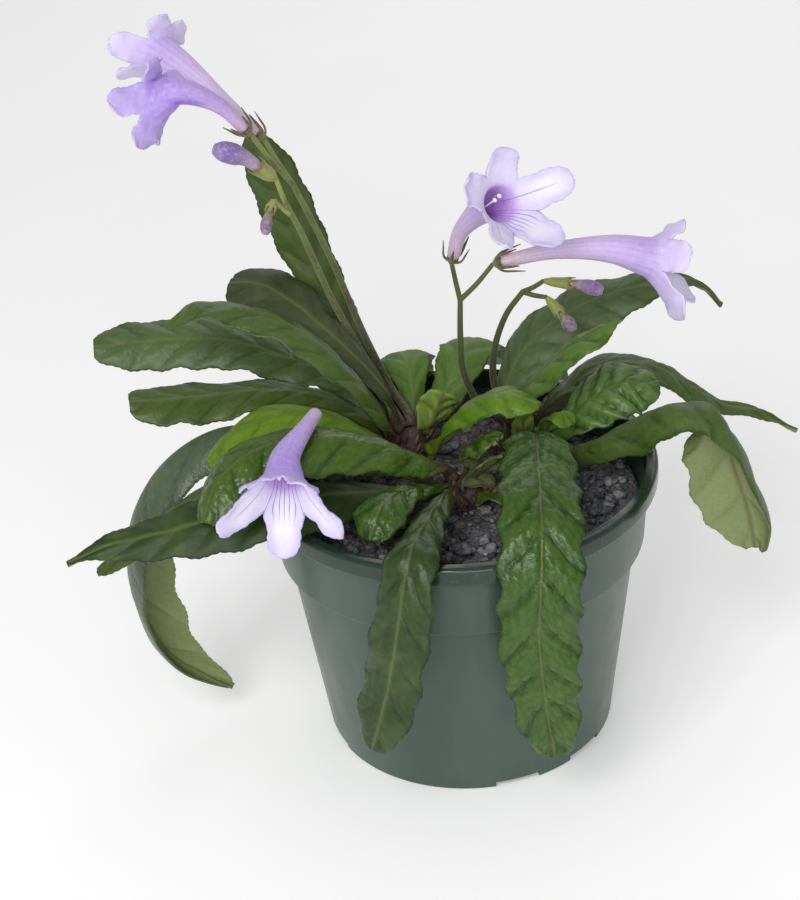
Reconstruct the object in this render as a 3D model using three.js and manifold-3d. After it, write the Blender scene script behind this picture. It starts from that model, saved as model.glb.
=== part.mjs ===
// A small Cape primrose in flower, growing in a four inch nursery pot.
// Millimetres, +Z up, +Y away from the viewer. The pot's axis stands at x = 0, y = 0 and its foot at
// z = 0 while the pieces are made; the finished group is then shifted in x and y so that its origin
// is the bottom centre of the whole plant's box.
import * as THREE from "three";
import { mergeVertices } from "three/addons/utils/BufferGeometryUtils.js";
import Module from "manifold-3d";

const wasm = await Module();
wasm.setup();

// Driving dimensions of the pot
const POT_HEIGHT = 76;
const LIP_RADIUS = 51;
const LIP_HEIGHT = 4.7;
const LIP_OVERHANG = 2.5;
const COLLAR_BOTTOM = 54.5;
const COLLAR_RADIUS = 47.3;
const BODY_TOP_RADIUS = 45.1;
const FOOT_RADIUS = 38;
const WALL = 1.5;
const FLOOR_RISE = 2.4;
const FLOOR_THICKNESS = 1.6;
const FOOT_RING_WIDTH = 3.4;
const NOTCH_HEIGHT = 1.8;
const NOTCH_WIDTH = 12;
const NOTCH_REACH = 20;
const SLOT_LENGTH = 9;
const SLOT_WIDTH = 7;
const EDGE_ROUNDING = 0.6;
const RIM_ROUNDING = 1.1;
const POT_SIDES = 36;

// Potting mix, and the gap left between neighbouring pieces
const SOIL_TOP = 67;
const SOIL_RELIEF = 1.4;
const SOIL_DIP = 1.5;
const CLEARANCE = 0.35;

// Leaves
const BLADE_THICKNESS = 0.75;
const PETIOLE_THICKNESS = 2;
const PETIOLE_HALF_WIDTH = 1.5;
const LEAST_HALF_WIDTH = 0.9;
const KEEL_HEIGHT = 0.8;

// Flower stalks and flowers
const SCAPE_RADIUS = 0.9;
const PEDICEL_RADIUS = 0.7;
const PETAL_THICKNESS = 0.65;
const SEPAL_RADII = [0.5, 0.45, 0.33];
// Radii of a bud from base to tip as shares of its widest.
const BUD_RADII = [0.6, 0.62, 0.75, 1, 1, 0.85, 0.4];

// The three growing points of the crown: each is a low knob of old leaf bases. A creeping rhizome
// links them just under the surface of the mix.
const RHIZOME_RADIUS = 4;
const RHIZOME_DEPTH = 4;
const KNOBS = {
  left: { centre: [-11, 20, 67], radii: [6.5, 6.5, 8] },
  front: { centre: [2, -3, 65.5], radii: [6.5, 6.5, 7.5] },
  right: { centre: [17, 16, 67], radii: [6.5, 6.5, 8] },
};

const COLOURS = {
  leaf: 0x3f6b22,
  youngLeaf: 0x6c9a25,
  scape: 0x6a6a38,
  petal: 0xb9a3e6,
  bud: 0x8f7ba8,
  crown: 0x6b4a3a,
  pot: 0x2e4a3d,
  soil: 0x2b2a2b,
};

const radians = THREE.MathUtils.degToRad;
const vector = ([x, y, z]) => new THREE.Vector3(x, y, z);

// A repeatable draw between -1 and 1.
function seededDraw(seed) {
  let state = seed;
  return () => {
    state = (Math.imul(state, 1664525) + 1013904223) >>> 0;
    return state / 2147483648 - 1;
  };
}

function toSolid(geometry) {
  const bare = geometry.clone();
  bare.deleteAttribute("normal");
  bare.deleteAttribute("uv");
  const merged = mergeVertices(bare, 1e-4);
  return new wasm.Manifold(
    new wasm.Mesh({
      numProp: 3,
      vertProperties: new Float32Array(merged.attributes.position.array),
      triVerts: new Uint32Array(merged.index.array),
    }),
  );
}

function toGeometry(solid) {
  const mesh = solid.getMesh();
  const positions = new Float32Array(mesh.numVert * 3);
  for (let i = 0; i < mesh.numVert; i++) {
    const start = i * mesh.numProp;
    positions.set(mesh.vertProperties.subarray(start, start + 3), i * 3);
  }
  const geometry = new THREE.BufferGeometry();
  geometry.setAttribute("position", new THREE.BufferAttribute(positions, 3));
  geometry.setIndex(new THREE.BufferAttribute(new Uint32Array(mesh.triVerts), 1));
  return geometry;
}

// Joins solids and keeps the largest body.
function join(solids) {
  const joined = solids.reduce((whole, next) => whole.add(next));
  const bodies = joined.decompose();
  return bodies.reduce((a, b) => (a.volume() > b.volume() ? a : b));
}

// A number from a list whose values are evenly spaced over 0 to 1.
function valueAt(values, share) {
  const step = Math.min(Math.floor(share * (values.length - 1)), values.length - 2);
  const within = share * (values.length - 1) - step;
  return values[step] + (values[step + 1] - values[step]) * within;
}

// Stations evenly spaced along a smooth curve, each with its place, direction, side and normal.
// The frame is carried along without twist, then rolled about the direction by the angles in roll,
// which are evenly spaced along the curve.
function spineFrames(points, side, count, roll = [0, 0]) {
  const curve = new THREE.CatmullRomCurve3(points, false, "centripetal");
  curve.arcLengthDivisions = 400;
  const frames = [];
  let carried = side.clone();
  for (let i = 0; i < count; i++) {
    const share = i / (count - 1);
    const along = curve.getTangentAt(share);
    carried = carried.clone().addScaledVector(along, -carried.dot(along)).normalize();
    const turned = carried.clone().applyAxisAngle(along, radians(valueAt(roll, share)));
    frames.push({
      at: curve.getPointAt(share),
      along,
      side: turned,
      normal: new THREE.Vector3().crossVectors(along, turned),
      share,
      length: curve.getLength(),
    });
  }
  return frames;
}

// A closed solid from an open sheet: each point is moved half the thickness to both sides along the
// sheet's own normal, both faces are split into triangles alike, and walls close the border.
function thickSheet(points, triangles, halfTop, halfBottom) {
  const normals = points.map(() => new THREE.Vector3());
  const edges = new Set();
  for (const [a, b, c] of triangles) {
    const ab = points[b].clone().sub(points[a]);
    const ac = points[c].clone().sub(points[a]);
    const face = ab.cross(ac);
    for (const corner of [a, b, c]) normals[corner].add(face);
    for (const [from, to] of [[a, b], [b, c], [c, a]]) edges.add(from + "," + to);
  }
  const positions = [];
  const count = points.length;
  for (const [i, point] of points.entries()) {
    normals[i].normalize();
    const top = point.clone().addScaledVector(normals[i], halfTop(i));
    positions.push(top.x, top.y, top.z);
  }
  for (const [i, point] of points.entries()) {
    const bottom = point.clone().addScaledVector(normals[i], -halfBottom(i));
    positions.push(bottom.x, bottom.y, bottom.z);
  }
  const index = [];
  for (const [a, b, c] of triangles) {
    index.push(a, b, c);
    index.push(count + a, count + c, count + b);
  }
  for (const edge of edges) {
    const [from, to] = edge.split(",").map(Number);
    if (edges.has(to + "," + from)) continue;
    index.push(to, from, count + from);
    index.push(to, count + from, count + to);
  }
  const geometry = new THREE.BufferGeometry();
  geometry.setAttribute("position", new THREE.Float32BufferAttribute(positions, 3));
  geometry.setIndex(index);
  return geometry;
}

// Leaves

// A point on a knob of the crown, a little clear of it, and the direction that faces outward there.
function seatOn(knob, azimuth, elevation) {
  const { centre, radii } = KNOBS[knob];
  const level = Math.cos(radians(elevation));
  const direction = new THREE.Vector3(
    level * Math.cos(radians(azimuth)),
    level * Math.sin(radians(azimuth)),
    Math.sin(radians(elevation)),
  );
  const reach = vector(radii).addScalar(CLEARANCE).multiply(direction);
  return { point: vector(centre).add(reach), direction };
}

// Half width of a blade as a share of its widest: a power curve that is widest at base/(base + tip).
function bladeOutline(share, base, tip) {
  const widest = base / (base + tip);
  const rise = Math.pow(Math.max(share, 0.002) / widest, base);
  const fall = Math.pow(Math.max(1 - share, 0.004) / (1 - widest), tip);
  return rise * fall;
}

// The blade of one leaf as a sheet of points: rows along the midrib, five columns from margin to
// margin. Each half leaves the midrib at the angle fold and bends by the angle curl on its way to
// the margin, up if positive; curl may differ for the two halves. quilt is the swelling between side
// veins, wave is the ruffle of the margin and teeth cut the margin.
const COLUMNS = [-1, -0.5, 0, 0.5, 1];
const MIDRIB = 2;

function leafPoint(leaf, frame, side) {
  const { share } = frame;
  const across = Math.abs(side);
  const sign = Math.sign(side);
  const blade = (leaf.width / 2) * bladeOutline(share, leaf.base, leaf.tip);
  const spread = THREE.MathUtils.smoothstep(share, 0, leaf.petiole);
  const half = PETIOLE_HALF_WIDTH * (1 - spread) + Math.max(blade, LEAST_HALF_WIDTH) * spread;
  const phase = 2 * Math.PI * leaf.veins * share;
  const tooth = 1 + leaf.teeth * Math.pow(across, 4) * Math.cos(phase);
  const fold = radians(leaf.fold * spread);
  // Every curl is downward, and the small constant keeps the arc's radius finite at the base.
  const bend = radians(leaf.curl[sign > 0 ? 1 : 0] * spread) - 0.001;
  const sideways = (half * tooth * (Math.sin(fold + bend * across) - Math.sin(fold))) / bend;
  const raised =
    (half * (Math.cos(fold) - Math.cos(fold + bend * across))) / bend +
    spread * leaf.quilt * Math.cos(phase) * Math.sin(Math.PI * across) +
    spread * leaf.wave * Math.pow(across, 1.5) * Math.sin(phase / 2 + (sign > 0 ? 0 : 1.3));
  const forward = spread * leaf.slant * across * half * 4 * share * (1 - share);
  return frame.at
    .clone()
    .addScaledVector(frame.side, sign * sideways)
    .addScaledVector(frame.normal, raised)
    .addScaledVector(frame.along, forward);
}

const LEAF_DEFAULTS = {
  tip: 0.4,
  base: 0.75,
  petiole: 0.16,
  fold: -4,
  curl: [-25, -25],
  quilt: 0.3,
  wave: 0.5,
  teeth: 0.05,
  slant: 0.3,
  veins: 9,
  roll: [0, 0],
};

function makeLeaf(given) {
  const leaf = { ...LEAF_DEFAULTS, ...given };
  const seat = seatOn(leaf.knob, leaf.seat[0], leaf.seat[1]);
  const root = seat.point;
  const shoulder = root.clone().addScaledVector(seat.direction, 2);
  const spine = [root, shoulder, ...leaf.path.map(vector)];
  const heading = spine[Math.ceil(spine.length / 2)].clone().sub(root);
  const side = new THREE.Vector3(-heading.y, heading.x, 0).normalize();
  const rows = 2 * leaf.veins + 1;
  const frames = spineFrames(spine, side, rows, leaf.roll);
  const points = frames.flatMap((frame) => COLUMNS.map((column) => leafPoint(leaf, frame, column)));
  const triangles = [];
  const stride = COLUMNS.length;
  for (let row = 0; row < rows - 1; row++) {
    for (let column = 0; column < stride - 1; column++) {
      const a = row * stride + column;
      const b = a + stride;
      if (column < MIDRIB) triangles.push([a, b, b + 1], [a, b + 1, a + 1]);
      else triangles.push([a, b, a + 1], [b, b + 1, a + 1]);
    }
  }
  const thickness = (i) => {
    const share = Math.floor(i / stride) / (rows - 1);
    const slim = THREE.MathUtils.smoothstep(share, 0, leaf.petiole + 0.08);
    return PETIOLE_THICKNESS + (BLADE_THICKNESS - PETIOLE_THICKNESS) * slim;
  };
  const keel = (i) => {
    const share = Math.floor(i / stride) / (rows - 1);
    return i % stride === MIDRIB ? KEEL_HEIGHT * (1 - 0.75 * share) : 0;
  };
  return thickSheet(
    points,
    triangles,
    (i) => thickness(i) / 2,
    (i) => thickness(i) / 2 + keel(i),
  );
}

// Each leaf: the knob that it grows from, where on the knob (azimuth, elevation), and the points
// that its midrib passes through.
const LEAVES = {
  leaf_left_upright: {
    knob: "left", seat: [114, 38], width: 14, veins: 8, roll: [0, -40, -45], base: 1.1, fold: 4,
    path: [
      [-18, 33, 80], [-22.5, 38, 89], [-29.5, 42, 104], [-35.5, 44, 119], [-42.5, 45, 140.5],
      [-46.5, 46, 150],
    ],
  },
  leaf_left_rear: {
    knob: "left", seat: [168, 66], width: 21, veins: 6, base: 1.3, roll: [0, -20, -30], tip: 0.32,
    path: [
      [-16.5, 18.5, 87], [-23.5, 20.5, 96.5], [-31.5, 23.5, 104.5], [-40, 28.5, 111],
      [-48, 33.5, 114], [-55.5, 36.5, 113.5],
    ],
  },
  leaf_left_arching: {
    knob: "left", seat: [212, 48], width: 16, veins: 8, roll: [0, -15, -15, 0], fold: -10, tip: 0.3,
    path: [
      [-18, 11.5, 84], [-27, 9.5, 100.5], [-37, 13, 109.5], [-46.5, 17, 113.5],
      [-56, 19.5, 115.5], [-64, 20, 116], [-71, 18, 112],
    ],
  },
  leaf_left_long: {
    knob: "left", seat: [152, 28], width: 17, veins: 9, roll: [0, -15, -30], tip: 0.3, base: 0.62,
    path: [[-19, 25, 78], [-29, 30, 87], [-42, 33, 92], [-57, 34, 98], [-74, 35, 99], [-93, 34, 99]],
  },
  leaf_left_low: {
    knob: "left", seat: [195, 26], width: 17, veins: 8, roll: [0, -10, -25], tip: 0.3,
    path: [[-21, 18, 78.5], [-31, 17, 87.5], [-47, 16, 92], [-64, 15, 92], [-82.5, 12, 93.5]],
  },
  leaf_left_young: {
    knob: "left", seat: [245, 32], width: 19, veins: 6, roll: [0, -20, -25, 0], fold: -10, tip: 0.2,
    path: [
      [-16, 8, 77], [-26, 4, 86.5], [-36, 1, 92.5], [-46, -2, 93.5], [-55, -5, 91.5],
      [-62.5, -9, 86.5],
    ],
  },
  leaf_left_hooked: {
    knob: "left", seat: [222, 10], width: 25, veins: 9, tip: 0.6,
    roll: [0, 0, 0, 15, 30, 30], fold: -34, curl: [-40, -40],
    path: [
      [-24, 10, 76], [-40, 8, 84], [-60, 8, 86], [-76, 7, 77], [-86, 4, 61],
      [-87, 2, 41], [-80, 1, 22], [-65, 2, 9],
    ],
  },
  leaf_left_under: {
    knob: "front", seat: [165, 25], width: 11, veins: 6, tip: 0.4,
    path: [
      [-14, -1, 74.5], [-30, -3.5, 80], [-48, -9, 83], [-62, -12, 79.5], [-79, -14, 69.5],
      [-93, -14, 59.5],
    ],
  },
  leaf_front_pointed: {
    knob: "front", seat: [198, 30], width: 20, veins: 9, tip: 0.95, roll: [0, -20, -30],
    path: [
      [-9, -8, 72], [-20, -13, 76], [-31, -19, 80], [-43, -25, 82.5], [-56, -28, 82],
      [-72, -29, 79], [-86, -30, 77], [-97, -30, 73],
    ],
  },
  leaf_front_shiny: {
    knob: "front", seat: [180, 66], width: 23, veins: 8, tip: 0.36, fold: -20, curl: [-25, -25],
    roll: [0, -16, -18, -5],
    path: [
      [-6, -6, 79], [-18, -12, 89], [-30, -16, 95], [-41, -19, 96.5], [-51, -23, 95.5],
      [-59, -29, 91], [-62.5, -34.5, 84.5],
    ],
  },
  leaf_front_small: {
    knob: "front", seat: [230, 46], width: 14, veins: 5, base: 1.2,
    path: [[-7, -12, 76], [-13, -19, 80], [-18, -26, 82], [-21, -32, 81], [-23, -36, 76.5]],
  },
  leaf_front_rim: {
    knob: "front", seat: [258, 26], width: 16, veins: 9, teeth: 0.07, wave: 0.7, tip: 0.28, base: 0.75,
    path: [
      [-2.5, -14, 75], [-7, -25, 77.5], [-10.5, -37, 79.5], [-13.5, -49, 81], [-16, -54.5, 74],
      [-18.5, -56, 61.5], [-21.5, -56, 47], [-26.5, -54, 28],
    ],
  },
  leaf_front_tiny: {
    knob: "front", seat: [303, 34], width: 6, veins: 3,
    path: [[6, -12, 72], [9, -15, 74], [12, -18, 73]],
  },
  leaf_front_blistered: {
    knob: "front", seat: [20, 72], width: 12, veins: 4, quilt: 0.5, roll: [0, 20],
    path: [[3, 0, 77.5], [4, -3.5, 82], [7, -7, 85.5], [10, -9.5, 87]],
  },
  leaf_front_inner: {
    knob: "front", seat: [335, 40], width: 9, veins: 3,
    path: [[4, -8, 76.5], [7, -11, 80.5], [11, -13, 85]],
  },
  leaf_front_bright: {
    knob: "left", seat: [305, 35], width: 15, veins: 6, fold: -10, roll: [0, 25, 25],
    path: [[-4.5, 9, 77], [-1, 6, 84.5], [5, 3, 91], [13, 0, 94.5], [21.5, -3, 92]],
  },
  leaf_left_striped: {
    knob: "left", seat: [350, 60], width: 11, veins: 4, fold: 14, roll: [0, -40],
    path: [[-6, 17, 78], [-4, 16, 83], [-2, 15, 88]],
  },
  leaf_rear_left: {
    knob: "left", seat: [80, 36], width: 19, veins: 6, base: 1.1,
    path: [[-10, 29, 75], [-10, 36, 81], [-11, 45, 84], [-12, 56, 79], [-13, 65, 67]],
  },
  leaf_rear_right: {
    knob: "left", seat: [38, 48], width: 18, veins: 6,
    path: [[-3, 28, 77], [2, 35, 84], [6, 44, 87], [9, 55, 82], [12, 64, 70]],
  },
  leaf_right_rear: {
    knob: "right", seat: [110, 55], width: 19, veins: 9, tip: 1.3, roll: [0, 10, 10, -10],
    path: [[14, 23, 80], [21, 29, 92], [34, 33, 100], [49, 35, 104], [65, 36, 105], [74, 36, 97]],
  },
  leaf_right_bright: {
    knob: "right", seat: [40, 52], width: 15, veins: 6, tip: 0.6, roll: [0, 20, 26, 20],
    path: [[18, 15, 84.5], [22.5, 11, 92.5], [28.5, 9, 100], [35, 9, 104], [43.5, 11, 107.5]],
  },
  leaf_right_quilted: {
    knob: "right", seat: [358, 34], width: 20, veins: 7, quilt: 0.45, roll: [0, 28, 32, 20],
    path: [[26, 14, 75], [32, 13, 81], [38.5, 13, 85.5], [45.5, 14, 87.5], [54, 14, 86]],
  },
  leaf_right_long: {
    knob: "right", seat: [40, 22], width: 15, veins: 8, tip: 1.1,
    path: [
      [25, 24, 75], [33, 29, 80], [43.5, 33, 83.5], [54.5, 34, 81.5], [63.5, 33, 76],
      [73.5, 31, 69.5], [83, 29, 67.5], [93, 26, 62.5],
    ],
  },
  leaf_right_hanging: {
    knob: "right", seat: [322, 14], width: 26, veins: 9, base: 0.9, tip: 0.4,
    roll: [0, 10, 10, -20, -62, -78, -80], fold: -10, curl: [-80, -10],
    path: [
      [27, 6, 72], [34, 0, 77.5], [41.5, -4, 83.5], [49, -8, 90.5], [56, -11, 94],
      [62, -13, 93.5], [65.5, -15, 87.5], [68.5, -17, 77], [71.5, -18, 66], [73.5, -18, 55],
    ],
  },
  leaf_right_small: {
    knob: "right", seat: [335, 55], width: 10, veins: 3,
    path: [[23, 11, 77], [25, 8, 82], [27.5, 5, 84.5], [29.5, 2, 82.5]],
  },
  leaf_right_sprout: {
    knob: "right", seat: [255, 66], width: 6, veins: 3,
    path: [[17.5, 9, 78], [17.5, 7, 82.5], [18.5, 6, 86]],
  },
  leaf_right_broad: {
    knob: "right", seat: [275, 40], width: 20, veins: 11, base: 0.32, tip: 0.28, teeth: 0.08,
    wave: 0.8, quilt: 0.4, curl: [-12, -12],
    path: [
      [17.5, 5, 76.5], [19.5, 0, 82], [20, -9, 85.5], [19, -22, 87], [18, -37, 87],
      [17, -49, 83], [16, -55, 73], [15, -56, 58], [16, -56, 40], [18, -54, 21.5],
    ],
  },
  leaf_back_left: {
    knob: "left", seat: [132, 14], width: 13, veins: 6,
    path: [[-19, 29, 72], [-27, 38, 78], [-35, 47, 81], [-42, 55, 75], [-47, 61, 61]],
  },
  leaf_back_middle: {
    knob: "right", seat: [85, 24], width: 15, veins: 7,
    path: [[19, 28, 75], [22, 40, 81], [25, 52, 82], [28, 61, 74], [30, 66, 58]],
  },
};

const YOUNG = [
  "leaf_left_young", "leaf_front_bright", "leaf_left_striped", "leaf_right_small", "leaf_right_sprout",
];

// Crown

function ellipsoid(centre, radii) {
  const geometry = new THREE.SphereGeometry(1, 12, 8);
  geometry.rotateX(Math.PI / 2);
  geometry.scale(...radii);
  geometry.translate(...centre);
  return toSolid(geometry);
}

// The knobs and the rhizome, all swollen by grow.
function crownSolid(grow) {
  const knobs = Object.values(KNOBS).map(({ centre, radii }) =>
    ellipsoid(centre, radii.map((radius) => radius + grow)),
  );
  const links = [["left", "front"], ["front", "right"], ["left", "right"]];
  for (const [from, to] of links) {
    const a = vector(KNOBS[from].centre);
    const b = vector(KNOBS[to].centre);
    const middle = a.clone().add(b).multiplyScalar(0.5);
    const span = b.clone().sub(a);
    const radius = RHIZOME_RADIUS + grow;
    const geometry = new THREE.CylinderGeometry(radius, radius, span.length() - 3, 8);
    geometry.applyQuaternion(
      new THREE.Quaternion().setFromUnitVectors(new THREE.Vector3(0, 1, 0), span.clone().normalize()),
    );
    geometry.translate(middle.x, middle.y, middle.z - RHIZOME_DEPTH);
    knobs.push(toSolid(geometry));
  }
  return join(knobs);
}

// Pot and soil

function lathe(profile, sides) {
  const geometry = new THREE.LatheGeometry(profile.map(([r, z]) => new THREE.Vector2(r, z)), sides);
  geometry.rotateX(Math.PI / 2);
  return toSolid(geometry);
}

const bodySlope = (BODY_TOP_RADIUS - FOOT_RADIUS) / COLLAR_BOTTOM;
const floorTop = FLOOR_RISE + FLOOR_THICKNESS;
const innerRadiusAt = (z) => FOOT_RADIUS + bodySlope * z - WALL;
const collarInner = COLLAR_RADIUS - WALL;
const lipInner = LIP_RADIUS - LIP_OVERHANG - EDGE_ROUNDING;
const footInner = FOOT_RADIUS - FOOT_RING_WIDTH;

// Three groups of two drain notches through the foot ring, each with a slot through the floor.
const NOTCH_GROUPS = 3;
const NOTCH_TURNS = [-75, -42];

function makePot() {
  const lipBottom = POT_HEIGHT - LIP_HEIGHT;
  const profile = [
    [0, FLOOR_RISE],
    [footInner, FLOOR_RISE],
    [footInner, 0],
    [FOOT_RADIUS - EDGE_ROUNDING, 0],
    [FOOT_RADIUS, EDGE_ROUNDING],
    [BODY_TOP_RADIUS, COLLAR_BOTTOM - EDGE_ROUNDING],
    [COLLAR_RADIUS - EDGE_ROUNDING, COLLAR_BOTTOM],
    [COLLAR_RADIUS, COLLAR_BOTTOM + EDGE_ROUNDING],
    [LIP_RADIUS - LIP_OVERHANG, lipBottom],
    [LIP_RADIUS - EDGE_ROUNDING, lipBottom],
    [LIP_RADIUS, lipBottom + EDGE_ROUNDING],
    [LIP_RADIUS, POT_HEIGHT - RIM_ROUNDING],
    [LIP_RADIUS - RIM_ROUNDING, POT_HEIGHT],
    [lipInner + EDGE_ROUNDING, POT_HEIGHT],
    [lipInner, POT_HEIGHT - EDGE_ROUNDING],
    [collarInner, COLLAR_BOTTOM + 1],
    [innerRadiusAt(COLLAR_BOTTOM - 1.5), COLLAR_BOTTOM - 1.5],
    [innerRadiusAt(floorTop + 2), floorTop + 2],
    [innerRadiusAt(floorTop + 2) - 2, floorTop],
    [0, floorTop],
  ];
  let pot = lathe(profile, POT_SIDES);
  for (let group = 0; group < NOTCH_GROUPS; group++) {
    for (const turn of NOTCH_TURNS) {
      const notch = new THREE.BoxGeometry(NOTCH_REACH, NOTCH_WIDTH, NOTCH_HEIGHT * 2);
      notch.translate(FOOT_RADIUS + 2 - NOTCH_REACH / 2, 0, 0);
      const slot = new THREE.BoxGeometry(SLOT_LENGTH, SLOT_WIDTH, floorTop * 3);
      slot.translate(footInner - 1 - SLOT_LENGTH / 2, 0, floorTop / 2);
      for (const cut of [notch, slot]) {
        cut.rotateZ(radians(turn + (group * 360) / NOTCH_GROUPS));
        pot = pot.subtract(toSolid(cut));
      }
    }
  }
  return toGeometry(pot);
}

// The potting mix: its bottom follows the pot, its top is lumpy and sinks a little near the wall.
function makeSoil() {
  const rings = 5;
  const sides = 24;
  const draw = seededDraw(11);
  const rim = collarInner + 0.6 - CLEARANCE;
  // The mix has fewer sides than the pot, so its flats need a little more room.
  const room = CLEARANCE + 0.3;
  const geometry = new THREE.LatheGeometry(
    [
      [0, floorTop + CLEARANCE],
      [innerRadiusAt(floorTop + 2) - 2.6, floorTop + CLEARANCE],
      [innerRadiusAt(floorTop + 3) - room, floorTop + 3],
      [innerRadiusAt(COLLAR_BOTTOM - 2) - room, COLLAR_BOTTOM - 2],
      [rim - 0.9, COLLAR_BOTTOM + 1.6],
      [rim, SOIL_TOP - SOIL_DIP],
      ...Array.from({ length: rings }, (_, i) => [rim * (1 - (i + 1) / rings), SOIL_TOP]),
    ].map(([r, z]) => new THREE.Vector2(r, z)),
    sides,
  );
  geometry.rotateX(Math.PI / 2);
  const merged = mergeVertices(geometry.deleteAttribute("uv").deleteAttribute("normal"), 1e-4);
  const position = merged.attributes.position;
  for (let i = 0; i < position.count; i++) {
    if (position.getZ(i) === SOIL_TOP) position.setZ(i, SOIL_TOP + SOIL_RELIEF * draw());
  }
  return toGeometry(toSolid(merged).subtract(crownSolid(CLEARANCE)));
}

// Scapes, calyces, corollas and buds

// A round stem through the given points, closed at both ends, with radii evenly spaced along it.
function stem(points, radii, sides, rows) {
  const frames = spineFrames(points, new THREE.Vector3(0.31, 0.95, 0.05), rows);
  const positions = [];
  for (const { at, side, normal, share } of frames) {
    const radius = valueAt(radii, share);
    for (let i = 0; i < sides; i++) {
      const turn = (2 * Math.PI * i) / sides;
      const point = at
        .clone()
        .addScaledVector(side, radius * Math.cos(turn))
        .addScaledVector(normal, radius * Math.sin(turn));
      positions.push(point.x, point.y, point.z);
    }
  }
  positions.push(...frames[0].at.toArray(), ...frames[rows - 1].at.toArray());
  const index = [];
  const start = rows * sides;
  for (let i = 0; i < sides; i++) {
    const next = (i + 1) % sides;
    for (let row = 0; row < rows - 1; row++) {
      const a = row * sides + i;
      const b = row * sides + next;
      index.push(a, b, b + sides, a, b + sides, a + sides);
    }
    index.push(start, next, i);
    index.push(start + 1, (rows - 1) * sides + i, (rows - 1) * sides + next);
  }
  const geometry = new THREE.BufferGeometry();
  geometry.setAttribute("position", new THREE.Float32BufferAttribute(positions, 3));
  geometry.setIndex(index);
  return toSolid(geometry);
}

// Five narrow sepals round the end of a pedicel, spreading and then bending back out.
function makeSepals(at, direction, length, radius) {
  const side = new THREE.Vector3(0.3, 0.9, 0.2);
  side.addScaledVector(direction, -side.dot(direction)).normalize();
  const solids = [];
  for (let i = 0; i < 5; i++) {
    const outward = side.clone().applyAxisAngle(direction, (2 * Math.PI * (i + 0.5)) / 5);
    const place = (out, up) =>
      at.clone().addScaledVector(outward, out).addScaledVector(direction, up);
    const line = [place(radius * 0.5, -1.3), place(radius + 1.2, 0.3), place(radius + 2, length)];
    solids.push(stem(line, SEPAL_RADII, 4, 4));
  }
  return solids;
}

// A flower: the points that the axis of its tube passes through, from base to mouth, the way that
// its lower lip faces and the radius of its mouth. The lengths of its lobes and how far they lean
// out from the axis are given for the middle of the lower lip, its two sides and the upper pair.
// The fallen one has dropped from its calyx and lies across a leaf.
const FLOWERS = {
  flower_left_upper: {
    axis: [[-43.3, 28.5, 156.8], [-50.7, 32, 164.1], [-59.9, 39, 171.1], [-66.4, 45, 173.8]],
    lip: [-0.69, -0.1, -0.72], mouth: 4.3, lobe: [11, 11, 7], lean: [42, 42, 75],
  },
  flower_left_lower: {
    axis: [[-46, 21.5, 160.9], [-52.1, 19.5, 168.6], [-61, 18.3, 173], [-65.4, 19.5, 170.9]],
    lip: [0.21, -0.5, -0.84], mouth: 4.3, lobe: [10.5, 10.5, 7], lean: [44, 38, 120],
  },
  flower_middle_facing: {
    axis: [[2.7, 20, 123.6], [4.6, 16.5, 131.5], [10.5, 8.5, 141], [14, 3, 144.2]],
    lip: [0.51, -0.19, -0.84], mouth: 4.8, lobe: [16, 16, 10], lean: [38, 38, 62],
  },
  flower_middle_side: {
    axis: [[14.7, 20, 121.2], [28, 15.5, 125.3], [41.9, 13, 125.7], [51.3, 14, 122.3]],
    lip: [-0.33, 0.37, -0.8], mouth: 4.8, lobe: [18.5, 15, 9.5], lean: [20, 48, 45],
  },
  flower_fallen: {
    axis: [[-34, -11.5, 99.1], [-37.2, -20, 99], [-41.6, -28, 96.4], [-42.3, -33.5, 93.6]],
    lip: [-0.08, 0.34, -0.94], mouth: 4.8, lobe: [17, 17, 12], lean: [42, 42, 45],
  },
};

// Lobe 0 is the middle of the lower lip, 1 and 4 are its sides, 2 and 3 the short upper pair.
const LOBE_KINDS = [0, 1, 2, 2, 1];
const LOBE_COLUMNS = 2;
const TUBE_COLUMNS = 5 * LOBE_COLUMNS;
// Tube radius from base to mouth as a share of the mouth's.
const TUBE_SHARES = [0.3, 0.36, 0.46, 0.72, 1];
// A lobe's outline: distance from the mouth as a share of its length, and half width as a share of
// its half width at the mouth.
const LOBE_OUTLINE = [[0.3, 1.35], [0.62, 1.5], [0.87, 1.25], [1, 0.5]];

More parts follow.
